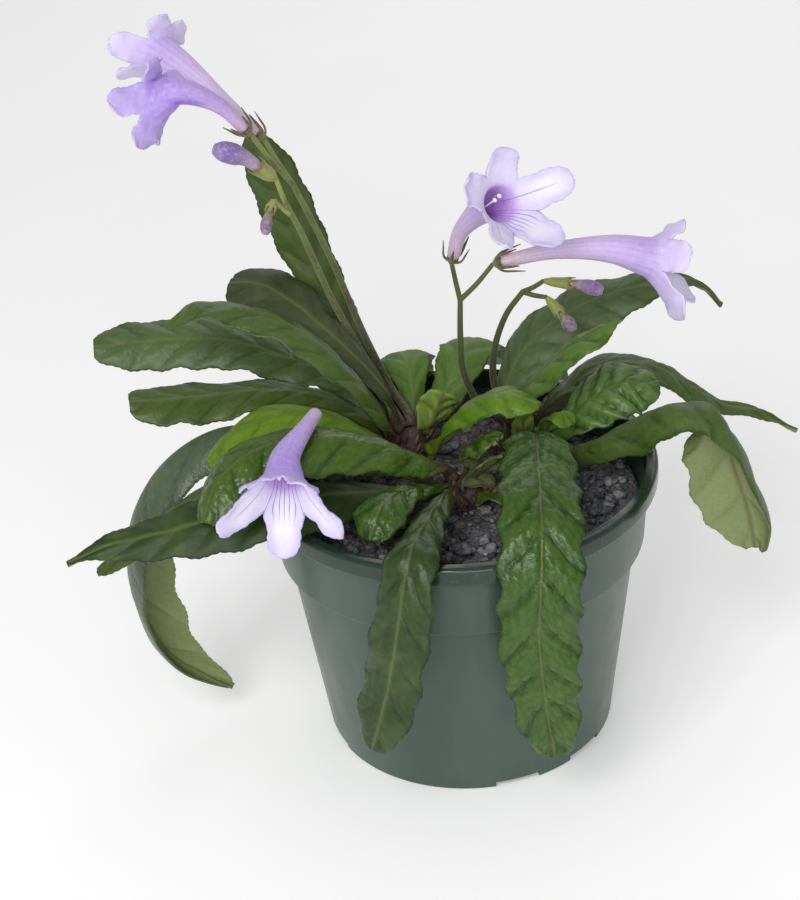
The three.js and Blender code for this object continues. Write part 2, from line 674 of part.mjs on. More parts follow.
function makeCorolla(flower) {
  const axis = flower.axis.map(vector);
  const lip = vector(flower.lip);
  const rings = TUBE_SHARES.length;
  const direction = axis[1].clone().sub(axis[0]).normalize();
  const side = new THREE.Vector3().crossVectors(lip, direction).normalize();
  const frames = spineFrames(axis, side, rings);
  const mouth = frames[rings - 1];
  const points = [];
  const triangles = [];
  for (const [ring, frame] of frames.entries()) {
    const radius = TUBE_SHARES[ring] * flower.mouth;
    for (let i = 0; i < TUBE_COLUMNS; i++) {
      const turn = ((i - LOBE_COLUMNS / 2) * 2 * Math.PI) / TUBE_COLUMNS;
      points.push(
        frame.at
          .clone()
          .addScaledVector(frame.normal, radius * Math.cos(turn))
          .addScaledVector(frame.side, radius * Math.sin(turn)),
      );
    }
  }
  for (let ring = 0; ring < rings - 1; ring++) {
    for (let i = 0; i < TUBE_COLUMNS; i++) {
      const next = (i + 1) % TUBE_COLUMNS;
      const a = ring * TUBE_COLUMNS + i;
      const b = ring * TUBE_COLUMNS + next;
      triangles.push([a, a + TUBE_COLUMNS, b + TUBE_COLUMNS], [a, b + TUBE_COLUMNS, b]);
    }
  }
  const mouthStart = (rings - 1) * TUBE_COLUMNS;
  for (let lobe = 0; lobe < 5; lobe++) {
    const turn = (lobe * 2 * Math.PI) / 5;
    const out = mouth.normal
      .clone()
      .multiplyScalar(Math.cos(turn))
      .addScaledVector(mouth.side, Math.sin(turn));
    const tangent = new THREE.Vector3().crossVectors(out, mouth.along);
    const length = flower.lobe[LOBE_KINDS[lobe]];
    const lean = flower.lean[LOBE_KINDS[lobe]];
    const halfWidth = flower.mouth * Math.sin(Math.PI / 5);
    const base = mouth.at.clone().addScaledVector(out, flower.mouth * Math.cos(Math.PI / 5));
    let previous = Array.from(
      { length: LOBE_COLUMNS + 1 },
      (_, i) => mouthStart + ((lobe * LOBE_COLUMNS + i) % TUBE_COLUMNS),
    );
    let covered = 0;
    for (const [share, width] of LOBE_OUTLINE) {
      const angle = radians(lean * (0.7 + 0.5 * share));
      base.addScaledVector(out, Math.sin(angle) * (share - covered) * length);
      base.addScaledVector(mouth.along, Math.cos(angle) * (share - covered) * length);
      covered = share;
      const inward = new THREE.Vector3().crossVectors(tangent, mouth.along);
      const current = [];
      for (let i = 0; i <= LOBE_COLUMNS; i++) {
        const across = (2 * i) / LOBE_COLUMNS - 1;
        const dip = 0.1 * halfWidth * width * (1 - across * across);
        current.push(points.length);
        points.push(
          base
            .clone()
            .addScaledVector(tangent, across * width * halfWidth)
            .addScaledVector(inward, -dip),
        );
      }
      for (let i = 0; i < LOBE_COLUMNS; i++) {
        triangles.push([previous[i], current[i], current[i + 1]]);
        triangles.push([previous[i], current[i + 1], previous[i + 1]]);
      }
      previous = current;
    }
  }
  const half = () => PETAL_THICKNESS / 2;
  return thickSheet(points, triangles, half, half);
}

// A closed bud: a slim tube that swells to a blunt head.
function makeBud({ axis, radius }) {
  return toGeometry(stem(axis.map(vector), BUD_RADII.map((share) => share * radius), 8, 7));
}

const BUDS = {
  bud_left_large: { axis: [[-43.5, 21, 150.8], [-47, 20, 154.2], [-53.8, 18, 157.8]], radius: 2.7 },
  bud_left_small: { axis: [[-41.6, 22, 140], [-43, 21, 137], [-43.8, 20, 133.5]], radius: 1.5 },
  bud_middle_long: { axis: [[31.5, 19.2, 114.2], [35, 19, 113.6], [40.1, 18, 111.9]], radius: 1.9 },
  bud_middle_short: { axis: [[28.7, 18.3, 107], [30.2, 17.8, 105], [32.4, 17, 101.8]], radius: 1.8 },
};

// A scape: the line of its stem from the crown, and its pedicels. Each pedicel ends in a calyx just
// below the flower or bud that it carries: five sepals round a flower, a closed cup round a bud.
const SCAPES = {
  scape_left_flowers: {
    knob: "left", seat: [90, 60],
    stem: [[-15.5, 34, 80.5], [-21, 34.5, 95], [-28.6, 31, 121.5], [-36, 26, 144]],
    pedicels: [
      { from: [-36, 26, 144], carries: "flower_left_upper", sepals: 5, cup: 1.6 },
      { from: [-36, 26, 144], carries: "flower_left_lower", sepals: 4.5, cup: 1.6 },
    ],
  },
  scape_left_buds: {
    knob: "left", seat: [126, 58],
    stem: [[-17.5, 31, 80], [-22.5, 33, 92], [-28.9, 32.5, 108], [-34.8, 27, 129.5], [-38, 21, 141]],
    pedicels: [
      { from: [-38, 21, 141], carries: "bud_left_large", sepals: 0, cup: 5 },
      { from: [-37, 20.7, 138], carries: "bud_left_small", sepals: 0, cup: 1.5 },
    ],
  },
  scape_middle_flowers: {
    knob: "right", seat: [150, 62],
    stem: [[8, 20, 80], [3.8, 20.5, 90], [3.4, 20.5, 100], [3.9, 21, 111]],
    pedicels: [
      { from: [3.9, 21, 111], carries: "flower_middle_facing", sepals: 6, cup: 1.8 },
      { from: [3.9, 21, 111], carries: "flower_middle_side", sepals: 6, cup: 1.8 },
    ],
  },
  scape_middle_buds: {
    knob: "right", seat: [120, 84],
    stem: [[12, 22, 84], [12, 23, 94], [15.5, 22.5, 105], [20, 22, 111.5]],
    pedicels: [
      { from: [20, 22, 111.5], carries: "bud_middle_long", sepals: 0, cup: 6 },
      { from: [20, 22, 111.5], carries: "bud_middle_short", sepals: 0, cup: 4.5 },
    ],
  },
};

function makeScape(scape) {
  const seat = seatOn(scape.knob, scape.seat[0], scape.seat[1]);
  const shoulder = seat.point.clone().addScaledVector(seat.direction, 2);
  const solids = [
    stem([seat.point, shoulder, ...scape.stem.map(vector)], [SCAPE_RADIUS, PEDICEL_RADIUS], 6, 12),
  ];
  for (const { from, carries, sepals, cup } of scape.pedicels) {
    const carried = FLOWERS[carries] ?? BUDS[carries];
    const width = carried.mouth ? TUBE_SHARES[0] * carried.mouth : carried.radius * 0.85;
    const axis = carried.axis.map(vector);
    const direction = axis[1].clone().sub(axis[0]).normalize();
    const end = axis[0].clone().addScaledVector(direction, -CLEARANCE);
    const start = end.clone().addScaledVector(direction, -cup);
    solids.push(stem([vector(from), start], [PEDICEL_RADIUS, PEDICEL_RADIUS], 6, 3));
    solids.push(stem([start, end], [PEDICEL_RADIUS, width], 6, 2));
    if (sepals > 0) solids.push(...makeSepals(end, direction, sepals, width));
  }
  return toGeometry(join(solids));
}

// The finished group

const plant = new THREE.Group();

function addPiece(name, geometry, colour, roughness) {
  const material = new THREE.MeshStandardMaterial({ color: colour, roughness, metalness: 0 });
  const mesh = new THREE.Mesh(geometry, material);
  mesh.name = name;
  plant.add(mesh);
}

addPiece("pot", makePot(), COLOURS.pot, 0.35);
addPiece("soil", makeSoil(), COLOURS.soil, 0.95);
addPiece("crown", toGeometry(crownSolid(0)), COLOURS.crown, 0.7);
for (const [name, leaf] of Object.entries(LEAVES)) {
  addPiece(name, makeLeaf(leaf), YOUNG.includes(name) ? COLOURS.youngLeaf : COLOURS.leaf, 0.45);
}
for (const [name, scape] of Object.entries(SCAPES)) {
  addPiece(name, makeScape(scape), COLOURS.scape, 0.6);
}
for (const [name, flower] of Object.entries(FLOWERS)) {
  addPiece(name, makeCorolla(flower), COLOURS.petal, 0.6);
}
for (const [name, bud] of Object.entries(BUDS)) {
  addPiece(name, makeBud(bud), COLOURS.bud, 0.6);
}

const bounds = new THREE.Box3().setFromObject(plant);
const middle = bounds.getCenter(new THREE.Vector3());
plant.position.set(-middle.x, -middle.y, 0);

export default plant;
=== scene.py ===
import itertools
import math

import bmesh
import bpy
import numpy as np
from mathutils import Matrix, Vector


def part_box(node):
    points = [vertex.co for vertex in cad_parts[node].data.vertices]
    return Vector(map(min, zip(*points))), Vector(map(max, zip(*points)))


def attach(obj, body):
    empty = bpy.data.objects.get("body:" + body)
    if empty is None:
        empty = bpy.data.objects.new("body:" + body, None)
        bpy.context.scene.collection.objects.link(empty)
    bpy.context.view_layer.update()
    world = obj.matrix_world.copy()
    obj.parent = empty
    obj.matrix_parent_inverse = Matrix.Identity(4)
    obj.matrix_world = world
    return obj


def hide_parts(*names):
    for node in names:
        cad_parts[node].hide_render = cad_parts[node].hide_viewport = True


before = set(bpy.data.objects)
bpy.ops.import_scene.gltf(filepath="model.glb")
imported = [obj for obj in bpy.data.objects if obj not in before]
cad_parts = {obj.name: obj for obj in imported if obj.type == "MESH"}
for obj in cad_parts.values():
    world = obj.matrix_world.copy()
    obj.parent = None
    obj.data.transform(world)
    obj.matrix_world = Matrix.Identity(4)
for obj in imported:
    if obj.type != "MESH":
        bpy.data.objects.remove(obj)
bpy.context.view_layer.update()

# A small Cape primrose in flower, growing in a four inch nursery pot.
# Lengths are in millimetres, +Z up, +Y away from the viewer, measured from the pot's axis and foot.
# They are moved to the row frame and turned into metres when a piece is made.

MM = 0.001
pot_low, pot_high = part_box("pot")
POT_AXIS = np.array([(pot_low.x + pot_high.x) / 2 / MM, (pot_low.y + pot_high.y) / 2 / MM, 0])

# Pot
POT_HEIGHT = 76
LIP_RADIUS = 51
LIP_HEIGHT = 4.7
LIP_OVERHANG = 2.5
COLLAR_BOTTOM = 54.5
COLLAR_RADIUS = 47.3
BODY_TOP_RADIUS = 45.1
FOOT_RADIUS = 38
WALL = 1.5
FLOOR_RISE = 2.4
FLOOR_THICKNESS = 1.6
FLOOR_TOP = FLOOR_RISE + FLOOR_THICKNESS
FOOT_RING_WIDTH = 3.4
NOTCH_HEIGHT = 1.8
NOTCH_WIDTH = 12
NOTCH_REACH = 20
SLOT_LENGTH = 9
SLOT_WIDTH = 7
NOTCH_GROUPS = 3
NOTCH_TURNS = (-75, -42)
EDGE_ROUNDING = 0.6
RIM_ROUNDING = 1.3
POT_SIDES = 180

# Potting mix and crown
SOIL_TOP = 67
SOIL_DIP = 1.5
CRUMBS = 1500
CLEARANCE = 0.35
RHIZOME_RADIUS = 4
RHIZOME_DEPTH = 4
SCALES_PER_KNOB = 20
KNOBS = {
    "left": ((-11, 20, 67), (6.5, 6.5, 8)),
    "front": ((2, -3, 65.5), (6.5, 6.5, 7.5)),
    "right": ((17, 16, 67), (6.5, 6.5, 8)),
}

# Leaves
BLADE_THICKNESS = 0.7
PETIOLE_THICKNESS = 2
PETIOLE_HALF_WIDTH = 1.5
LEAST_HALF_WIDTH = 0.9
KEEL_HEIGHT = 0.8
LEAF_CELL = 0.62
VEIN_LEAN = 0.75
BLISTER_SIZE = 2.6
TOOTH_PITCH = 2.3
TOOTH_DEPTH = 0.3

# Flower stalks and flowers
SCAPE_RADIUS = 0.9
PEDICEL_RADIUS = 0.7
PETAL_THICKNESS = 0.55
SEPAL_RADII = (0.5, 0.5, 0.42, 0.16)
BUD_RADII = (0.3, 0.58, 0.62, 0.66, 0.75, 0.92, 1, 1, 0.96, 0.82, 0.5)
TUBE_BASE = 0.3


# Small helpers

def vec(*values):
    return np.array(values, float)


def stacked(*columns):
    return np.stack(np.broadcast_arrays(*columns), -1).astype(float)


def unit(vectors):
    return vectors / np.maximum(np.linalg.norm(vectors, axis=-1, keepdims=True), 1e-9)


def smoothstep(value, low, high):
    share = np.clip((value - low) / (high - low), 0, 1)
    return share * share * (3 - 2 * share)


def spaced(values, share):
    """A number from values, which are evenly spaced over 0 to 1."""
    return np.interp(share, np.linspace(0, 1, len(values)), values)


def lattice(x, y, z, seed):
    """A repeatable number from 0 to 1 for each whole-numbered place."""
    mixed = (x * 374761393 + y * 668265263 + z * 1442695041 + seed * 1013904223) & 0xFFFFFFFF
    mixed = ((mixed ^ (mixed >> 13)) * 1274126177) & 0xFFFFFFFF
    return ((mixed ^ (mixed >> 16)) & 0xFFFFFFFF) / 2**32


def noise(points, size, seed=0):
    """Smooth noise from -1 to 1 at each point, with lumps of the given size."""
    place = np.asarray(points, float) / size
    cell = np.floor(place).astype(np.int64)
    share = place - cell
    share = share * share * (3 - 2 * share)
    total = 0
    for corner in itertools.product((0, 1), repeat=3):
        weight = np.prod(np.where(corner, share, 1 - share), axis=-1)
        x, y, z = np.moveaxis(cell + np.array(corner), -1, 0)
        total = total + weight * lattice(x, y, z, seed)
    return 2 * total - 1


def cell_walls(x, y, seed):
    """How far each place is from the border of its cell, in a pavement of uneven cells of size 1."""
    left, low = np.floor(x).astype(np.int64), np.floor(y).astype(np.int64)
    first = np.full(x.shape, 9.0)
    second = first.copy()
    for i, j in itertools.product((-1, 0, 1), repeat=2):
        across = left + i + 0.5 + 0.75 * (lattice(left + i, low + j, 1, seed) - 0.5)
        up = low + j + 0.5 + 0.75 * (lattice(left + i, low + j, 2, seed) - 0.5)
        distance = np.hypot(x - across, y - up)
        second = np.minimum(second, np.maximum(first, distance))
        first = np.minimum(first, distance)
    return second - first


# Curves, grids and shells

def smooth_curve(control, count):
    """Places evenly spaced along a smooth curve through the control points, their directions,
    their shares of the curve and its length."""
    control = np.asarray(control, float)
    ends = [2 * control[0] - control[1], *control, 2 * control[-1] - control[-2]]
    dense = []
    for p0, p1, p2, p3 in zip(ends, ends[1:], ends[2:], ends[3:]):
        d0, d1, d2 = (np.linalg.norm(b - a) ** 0.5 for a, b in ((p0, p1), (p1, p2), (p2, p3)))
        start = ((p1 - p0) / d0 - (p2 - p0) / (d0 + d1) + (p2 - p1) / d1) * d1
        finish = ((p2 - p1) / d1 - (p3 - p1) / (d1 + d2) + (p3 - p2) / d2) * d1
        t = np.linspace(0, 1, 80, endpoint=False)[:, None]
        square = 3 * (p2 - p1) - 2 * start - finish
        cube = 2 * (p1 - p2) + start + finish
        dense.append(p1 + start * t + square * t**2 + cube * t**3)
    dense = np.concatenate([*dense, control[-1:]])
    travelled = np.concatenate([[0], np.cumsum(np.linalg.norm(np.diff(dense, axis=0), axis=1))])
    slopes = unit(np.gradient(dense, travelled, axis=0))
    share = np.linspace(0, 1, count)
    wanted = share * travelled[-1]
    at = np.stack([np.interp(wanted, travelled, dense[:, i]) for i in range(3)], -1)
    along = unit(np.stack([np.interp(wanted, travelled, slopes[:, i]) for i in range(3)], -1))
    return at, along, share, travelled[-1]


class Line:
    """Stations along a smooth curve, each with its place, direction, side and normal. The side is
    carried along without twist, then rolled by the angles in roll, evenly spaced along the curve."""

    def __init__(self, control, side, count, roll=(0, 0)):
        self.at, self.along, self.share, _ = smooth_curve(control, count)
        sides = []
        for direction in self.along:
            side = unit(side - np.dot(side, direction) * direction)
            sides.append(side)
        sides = np.array(sides)
        angle = np.radians(spaced(roll, self.share))[:, None]
        self.side = sides * np.cos(angle) + np.cross(self.along, sides) * np.sin(angle)
        self.normal = np.cross(self.along, self.side)


def grid_quads(rows, columns, wrap=False):
    row, column = np.meshgrid(np.arange(rows - 1), np.arange(columns - (not wrap)), indexing="ij")
    a = row * columns + column
    b = row * columns + (column + 1) % columns
    return np.stack([a, a + columns, b + columns, b], -1).reshape(-1, 4)


def thicken(points, quads, top, bottom):
    """A closed shell from an open sheet, moved by top and bottom along the sheet's normal. The
    first half of its points is the upper face."""
    count = len(points)
    a, b, c, d = (points[quads[:, i]] for i in range(4))
    facing = np.cross(c - a, d - b)
    normals = np.zeros_like(points)
    for corner in quads.T:
        np.add.at(normals, corner, facing)
    normals = unit(normals)
    sides = np.concatenate([quads[:, [i, (i + 1) % 4]] for i in range(4)])
    border = sides[~np.isin(sides[:, 1] * count + sides[:, 0], sides[:, 0] * count + sides[:, 1])]
    walls = np.stack([border[:, 1], border[:, 0], border[:, 0] + count, border[:, 1] + count], -1)
    both = np.concatenate([points + normals * top[:, None], points - normals * bottom[:, None]])
    return both, np.concatenate([quads, quads[:, ::-1] + count, walls])


def tube(control, radii, sides, rows, squash=1.0, side=(0.31, 0.95, 0.05)):
    """A round stem through the control points, closed at both ends, and each point's share of it."""
    line = Line(control, vec(*side), rows)
    turn = np.linspace(0, 2 * np.pi, sides, endpoint=False)
    radius = spaced(radii, line.share)[:, None, None]
    around = line.side[:, None] * np.cos(turn)[:, None]
    ring = around + line.normal[:, None] * np.sin(turn)[:, None] * squash
    points = (line.at[:, None] + radius * ring).reshape(-1, 3)
    caps = [tuple(range(sides)), tuple(range((rows - 1) * sides, rows * sides))[::-1]]
    faces = [*map(tuple, grid_quads(rows, sides, wrap=True)), *caps]
    return points, faces, np.repeat(line.share, sides)


def linked(name, data):
    """A new object in the scene."""
    made = bpy.data.objects.new(name, data)
    bpy.context.collection.objects.link(made)
    return made


def as_mesh(name, work):
    mesh = bpy.data.meshes.new(name)
    work.to_mesh(mesh)
    work.free()
    return mesh


class Shape:
    """Points and faces gathered part by part. Each point carries three triples of numbers, place,
    form and own, that the materials read."""

    def __init__(self):
        self.points, self.faces, self.traits, self.count = [], [], [], 0

    def add(self, points, faces, place, form, own=(0, 0, 0)):
        points = np.asarray(points, float).reshape(-1, 3)
        traits = np.empty((len(points), 9))
        for column, values in enumerate((*place, *form, *own)):
            traits[:, column] = values
        self.points.append(points)
        self.traits.append(traits)
        self.faces += [tuple(int(i) + self.count for i in face) for face in faces]
        self.count += len(points)

    def piece(self, name, material, replaced, sharp=None):
        points = (np.concatenate(self.points) + POT_AXIS) * MM
        traits = np.concatenate(self.traits).astype(np.float32)
        mesh = bpy.data.meshes.new(name)
        mesh.from_pydata(points.tolist(), [], self.faces)
        for title, columns in zip(("place", "form", "own"), np.hsplit(traits, 3)):
            mesh.attributes.new(title, "FLOAT_VECTOR", "POINT")
            mesh.attributes[title].data.foreach_set("vector", columns.ravel())
        work = bmesh.new()
        work.from_mesh(mesh)
        bmesh.ops.recalc_face_normals(work, faces=work.faces)
        work.to_mesh(mesh)
        work.free()
        mesh.shade_smooth()
        if sharp is not None:
            mesh.set_sharp_from_angle(angle=math.radians(sharp))
        made = linked(name, mesh)
        mesh.materials.append(material)
        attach(made, "root")
        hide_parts(replaced)
        return made


# Materials

def tone(red, green, blue):
    """A colour from 0 to 255 a channel, as the eye sees it, turned into light."""
    shares = (value / 255 for value in (red, green, blue))
    return (*(s / 12.92 if s < 0.04045 else ((s + 0.055) / 1.055) ** 2.4 for s in shares), 1)


class Finish:
    """One material, and short calls for the nodes that it is built from."""

    def __init__(self, name, **constants):
        self.material = bpy.data.materials.new(name)
        self.material.use_nodes = True
        self.tree = self.material.node_tree
        self.shader = self.tree.nodes["Principled BSDF"]
        self.place = self.node("TexCoord").outputs["Object"]
        for title, value in constants.items():
            self.shader.inputs[title.replace("_", " ")].default_value = value

    def node(self, kind, settings=(), inputs=()):
        made = self.tree.nodes.new("ShaderNode" + kind)
        for title, value in dict(settings).items():
            setattr(made, title, value)
        for title, value in dict(inputs).items():
            if isinstance(value, bpy.types.NodeSocket):
                self.tree.links.new(value, made.inputs[title])
            else:
                made.inputs[title].default_value = value
        return made

    def trait(self, title, axis):
        read = self.node("Attribute", {"attribute_name": title})
        return self.node("SeparateXYZ", inputs={0: read.outputs["Vector"]}).outputs[axis]

    def noise(self, size, detail=4, stretch=None):
        place = self.place
        if stretch:
            place = self.node("Mapping", inputs={"Vector": place, "Scale": stretch}).outputs[0]
        inputs = {"Vector": place, "Scale": 1 / (size * MM), "Detail": detail}
        return self.node("TexNoise", inputs=inputs).outputs["Fac"]

    def cells(self, size):
        inputs = {"Vector": self.place, "Scale": 1 / (size * MM)}
        return self.node("TexVoronoi", inputs=inputs).outputs["Distance"]

    def math(self, operation, a, b=0.0, c=0.0):
        return self.node("Math", {"operation": operation}, {0: a, 1: b, 2: c}).outputs[0]

    def times(self, a, b):
        return self.math("MULTIPLY", a, b)

    def range(self, value, low, high, to_low=0.0, to_high=1.0):
        inputs = {"Value": value, "From Min": low, "From Max": high, "To Min": to_low, "To Max": to_high}
        return self.node("MapRange", {"interpolation_type": "SMOOTHSTEP"}, inputs).outputs[0]

    def mix(self, factor, a, b, blend="MIX"):
        a, b = (tone(*colour) if isinstance(colour, tuple) else colour for colour in (a, b))
        made = self.node("Mix", {"data_type": "RGBA", "blend_type": blend}, {0: factor, 6: a, 7: b})
        return made.outputs[2]

    def ramp(self, factor, stops):
        made = self.node("ValToRGB", inputs={0: factor})
        elements = made.color_ramp.elements
        while len(elements) < len(stops):
            elements.new(0.5)
        for element, stop in zip(elements, stops):
            element.position = stop[0]
        for element, stop in zip(elements, stops):
            element.color = tone(*stop[1])
        return made.outputs["Color"]

    def bump(self, height, distance, strength=1.0):
        inputs = {"Height": height, "Distance": distance * MM, "Strength": strength}
        self.finish("Normal", self.node("Bump", inputs=inputs).outputs[0])

    def finish(self, title, value):
        self.tree.links.new(value, self.shader.inputs[title])


def leaf_finish(name, highlight_and_blotch_tint, under):
    """place is the share along the leaf, the share across it and 1 underneath; form is the height
    of the blisters, the strength of the veins and the gloss; own is the leaf's green. The blister
    height sets painted shade in the hollows and a painted highlight on the raised places. The tint
    given after the name is the colour of that painted highlight and of random lighter blotches,
    and under holds two colours for the underside."""
    made = Finish(name, Specular_IOR_Level=0.4)
    share, side, beneath = (made.trait("place", i) for i in range(3))
    height, veins, gloss = (made.trait("form", i) for i in range(3))
    own = made.node("Attribute", {"attribute_name": "own"}).outputs["Vector"]
    fine = made.noise(0.9, 5)
    blotch = made.noise(9, 3)
    raised = made.math("MULTIPLY_ADD", fine, 0.3, made.math("MULTIPLY_ADD", height, 0.8, -0.1))
    from_midrib = made.math("ABSOLUTE", side)
    # Painted shade: where the blisters are low, in the hollows along the sunken veins, the green is
    # darkened.
    upper = made.mix(made.range(raised, 0.15, 0.7, 1, 0), own, (162, 176, 150), "MULTIPLY")
    # Painted highlight: raised places are lightened toward the highlight tint.
    upper = made.mix(made.range(raised, 0.6, 1, 0, 0.16), upper, highlight_and_blotch_tint)
    # Random lighter blotches in the same tint.
    upper = made.mix(made.range(blotch, 0.45, 0.7, 0, 0.2), upper, highlight_and_blotch_tint)
    midrib = made.times(veins, made.range(from_midrib, 0.06, 0.3, 0.3, 0))
    upper = made.mix(midrib, upper, (134, 150, 78))
    upper = made.mix(made.range(from_midrib, 0.86, 1, 0, 0.6), upper, (150, 160, 130), "MULTIPLY")
    lower = made.mix(fine, *under)
    lower = made.mix(made.times(veins, 0.75), lower, (98, 84, 52))
    colour = made.mix(beneath, upper, lower)
    stalk = made.times(made.range(share, 0.04, 0.17, 1, 0), made.range(fine, 0.3, 0.6, 0.5, 1))
    made.finish("Base Color", made.mix(stalk, colour, (86, 58, 58)))
    dull = made.mix(beneath, made.range(gloss, 0, 1, 0.5, 0.2), (200, 200, 200))
    made.finish("Roughness", made.math("MULTIPLY_ADD", made.noise(3, 4), 0.16, dull))
    grain = made.math("SUBTRACT", made.times(fine, 0.7), made.times(made.cells(0.9), 0.7))
    made.bump(made.times(grain, made.range(gloss, 0.2, 1, 0.3, 1)), 0.28, 0.5)
    return made.material


def petal_finish():
    """place is the share along the tube, then 1 plus the share along a lobe, the share across a
    lobe and 1 inside; form is 1 on the middle of the lower lip, 0.5 on its sides and 0 on the
    upper pair, 1 on a stamen and how deep the violet is on the outside."""
    made = Finish(
        "petal", Specular_IOR_Level=0.3, Sheen_Weight=0.15, Sheen_Roughness=0.4,
        Subsurface_Weight=0.35, Subsurface_Scale=0.002, Subsurface_Radius=(1, 0.9, 1),
    )
    along, across, inside = (made.trait("place", i) for i in range(3))
    kind, stamen, depth = (made.trait("form", i) for i in range(3))
    reach = made.times(along, 0.5)
    from_middle = made.math("ABSOLUTE", across)
    wander = made.math("MULTIPLY_ADD", made.noise(3, 2), 0.08, -0.04)
    placed = made.math("ADD", across, wander)
    outside = made.ramp(reach, [
        (0, (220, 196, 196)), (0.1, (216, 192, 214)), (0.3, (208, 186, 232)),
        (0.46, (192, 168, 230)), (0.56, (200, 184, 236)), (1, (218, 208, 246)),
    ])
    outside = made.mix(made.times(depth, made.range(along, 0, 0.4, 0.5, 1)), outside, (134, 100, 196))
    streaks = made.range(made.math("PINGPONG", placed, 0.33), 0, 0.2, 0.22, 0)
    outside = made.mix(made.times(streaks, made.range(along, 1, 1.4, 1, 0)), outside, (146, 108, 200))
    keel = made.times(made.range(kind, 0.5, 1), made.range(from_middle, 0.2, 1, 1, 0))
    band = made.times(made.range(along, 0.45, 0.65), made.range(along, 0.75, 0.98, 1, 0))
    outside = made.mix(made.times(made.times(keel, band), 0.8), outside, (136, 92, 200))
    throat = [(0.3, (190, 138, 212)), (0.44, (194, 152, 222)), (0.495, (204, 182, 232))]
    middle = made.ramp(reach, [
        *throat, (0.55, (226, 220, 241)), (0.8, (231, 227, 245)), (1, (208, 199, 241)),
    ])
    edge = made.ramp(reach, [*throat, (0.58, (212, 204, 238)), (1, (196, 184, 232))])
    inner = made.mix(made.range(from_middle, 0.3, 1), middle, edge)
    inner = made.mix(made.range(kind, 0, 0.5, 0.6, 0), inner, edge)
    # Thin violet lines lead into the throat: several on the middle lobe, one on each side lobe.
    nearest = made.math("PINGPONG", placed, made.range(kind, 0.5, 1, 1, 0.165))
    fade = made.math("MULTIPLY_ADD", kind, -0.5, 1.75)
    line = made.range(nearest, 0.012, 0.05, 1, 0)
    line = made.times(line, made.range(along, fade, made.math("ADD", fade, 0.3), 0.75, 0))
    inner = made.mix(made.times(line, made.range(kind, 0, 0.4)), inner, (112, 70, 180))
    colour = made.mix(inside, outside, inner)
    mottle = made.noise(1.1, 4)
    colour = made.mix(made.range(mottle, 0.35, 0.75, 0, 0.16), colour, (240, 236, 250))
    colour = made.mix(stamen, colour, (240, 238, 232))
    made.finish("Base Color", colour)
    made.finish("Roughness", made.range(mottle, 0.3, 0.7, 0.42, 0.6))
    made.bump(made.math("ADD", mottle, made.times(made.cells(0.5), 0.6)), 0.1, 0.35)
    return made.material


def scape_finish():
    """place is the share along the stem, 1 on a sepal and the share along it; form is the shade and
    1 on the green cup of a bud."""
    made = Finish("scape", Specular_IOR_Level=0.4, Sheen_Weight=0.3, Sheen_Roughness=0.5)
    share, sepal, point = (made.trait("place", i) for i in range(3))
    shade, fresh = made.trait("form", 0), made.trait("form", 1)
    fine = made.noise(0.7, 5)
    stem = made.ramp(share, [
        (0, (60, 44, 28)), (0.25, (72, 70, 32)), (0.6, (96, 114, 36)), (1, (132, 146, 56)),
    ])
    stem = made.mix(made.range(made.noise(6, 3), 0.45, 0.7, 0, 0.6), stem, (84, 62, 56))
    leafy = made.ramp(point, [(0, (120, 118, 66)), (0.4, (98, 82, 54)), (1, (52, 40, 38))])
    cup = made.ramp(point, [(0, (140, 150, 66)), (0.5, (132, 134, 66)), (1, (92, 78, 54))])
    leafy = made.mix(fresh, leafy, cup)
    colour = made.mix(sepal, stem, leafy)
    colour = made.mix(made.range(fine, 0.35, 0.7, 0, 0.35), colour, (150, 150, 110))
    value = made.math("MULTIPLY_ADD", shade, 0.5, 1)
    shaded = made.node("HueSaturation", inputs={"Color": colour, "Value": value})
    made.finish("Base Color", shaded.outputs["Color"])
    made.finish("Roughness", made.range(fine, 0.3, 0.7, 0.45, 0.7))
    made.bump(made.math("ADD", fine, made.cells(0.35)), 0.12, 0.6)
    return made.material


def bud_finish():
    """place is the share along the bud; form is how violet the bud is."""
    made = Finish("bud", Specular_IOR_Level=0.3, Sheen_Weight=0.3, Sheen_Roughness=0.4)
    share, violet = made.trait("place", 0), made.trait("form", 0)
    bright = made.ramp(share, [
        (0, (170, 150, 156)), (0.4, (150, 126, 170)), (0.75, (118, 92, 160)), (1, (140, 116, 166)),
    ])
    dull = made.ramp(share, [
        (0, (132, 122, 86)), (0.45, (124, 108, 104)), (0.75, (116, 92, 136)), (1, (164, 150, 136)),
    ])
    fine = made.noise(0.8, 5)
    colour = made.mix(violet, dull, bright)
    colour = made.mix(made.range(fine, 0.4, 0.75, 0, 0.3), colour, (214, 206, 220))
    made.finish("Base Color", colour)
    made.finish("Roughness", made.range(fine, 0.3, 0.7, 0.45, 0.65))
    made.bump(made.math("ADD", fine, made.cells(0.4)), 0.12, 0.6)
    return made.material


def crown_finish():
    """place is the share of height, 1 on a scale and the share along it; form is its redness."""
    made = Finish("crown", Specular_IOR_Level=0.35)
    share, scale, point = (made.trait("place", i) for i in range(3))
    red = made.trait("form", 0)
    fine = made.noise(0.8, 6)
    strands = made.noise(1.3, 4, stretch=(1, 1, 0.22))
    bark = made.ramp(strands, [
        (0.3, (38, 30, 28)), (0.5, (62, 48, 44)), (0.62, (84, 56, 60)), (0.8, (112, 96, 78)),
    ])
    scales = made.mix(red, made.mix(point, (88, 84, 44), (128, 116, 74)), (72, 42, 56))
    colour = made.mix(scale, bark, scales)
    made.finish("Base Color", made.mix(made.range(share, 0, 0.5, 0.6, 0), colour, (40, 34, 32)))
    made.finish("Roughness", made.range(fine, 0.3, 0.7, 0.5, 0.8))
    made.bump(made.math("ADD", strands, made.times(fine, 0.5)), 0.5, 0.8)
    return made.material


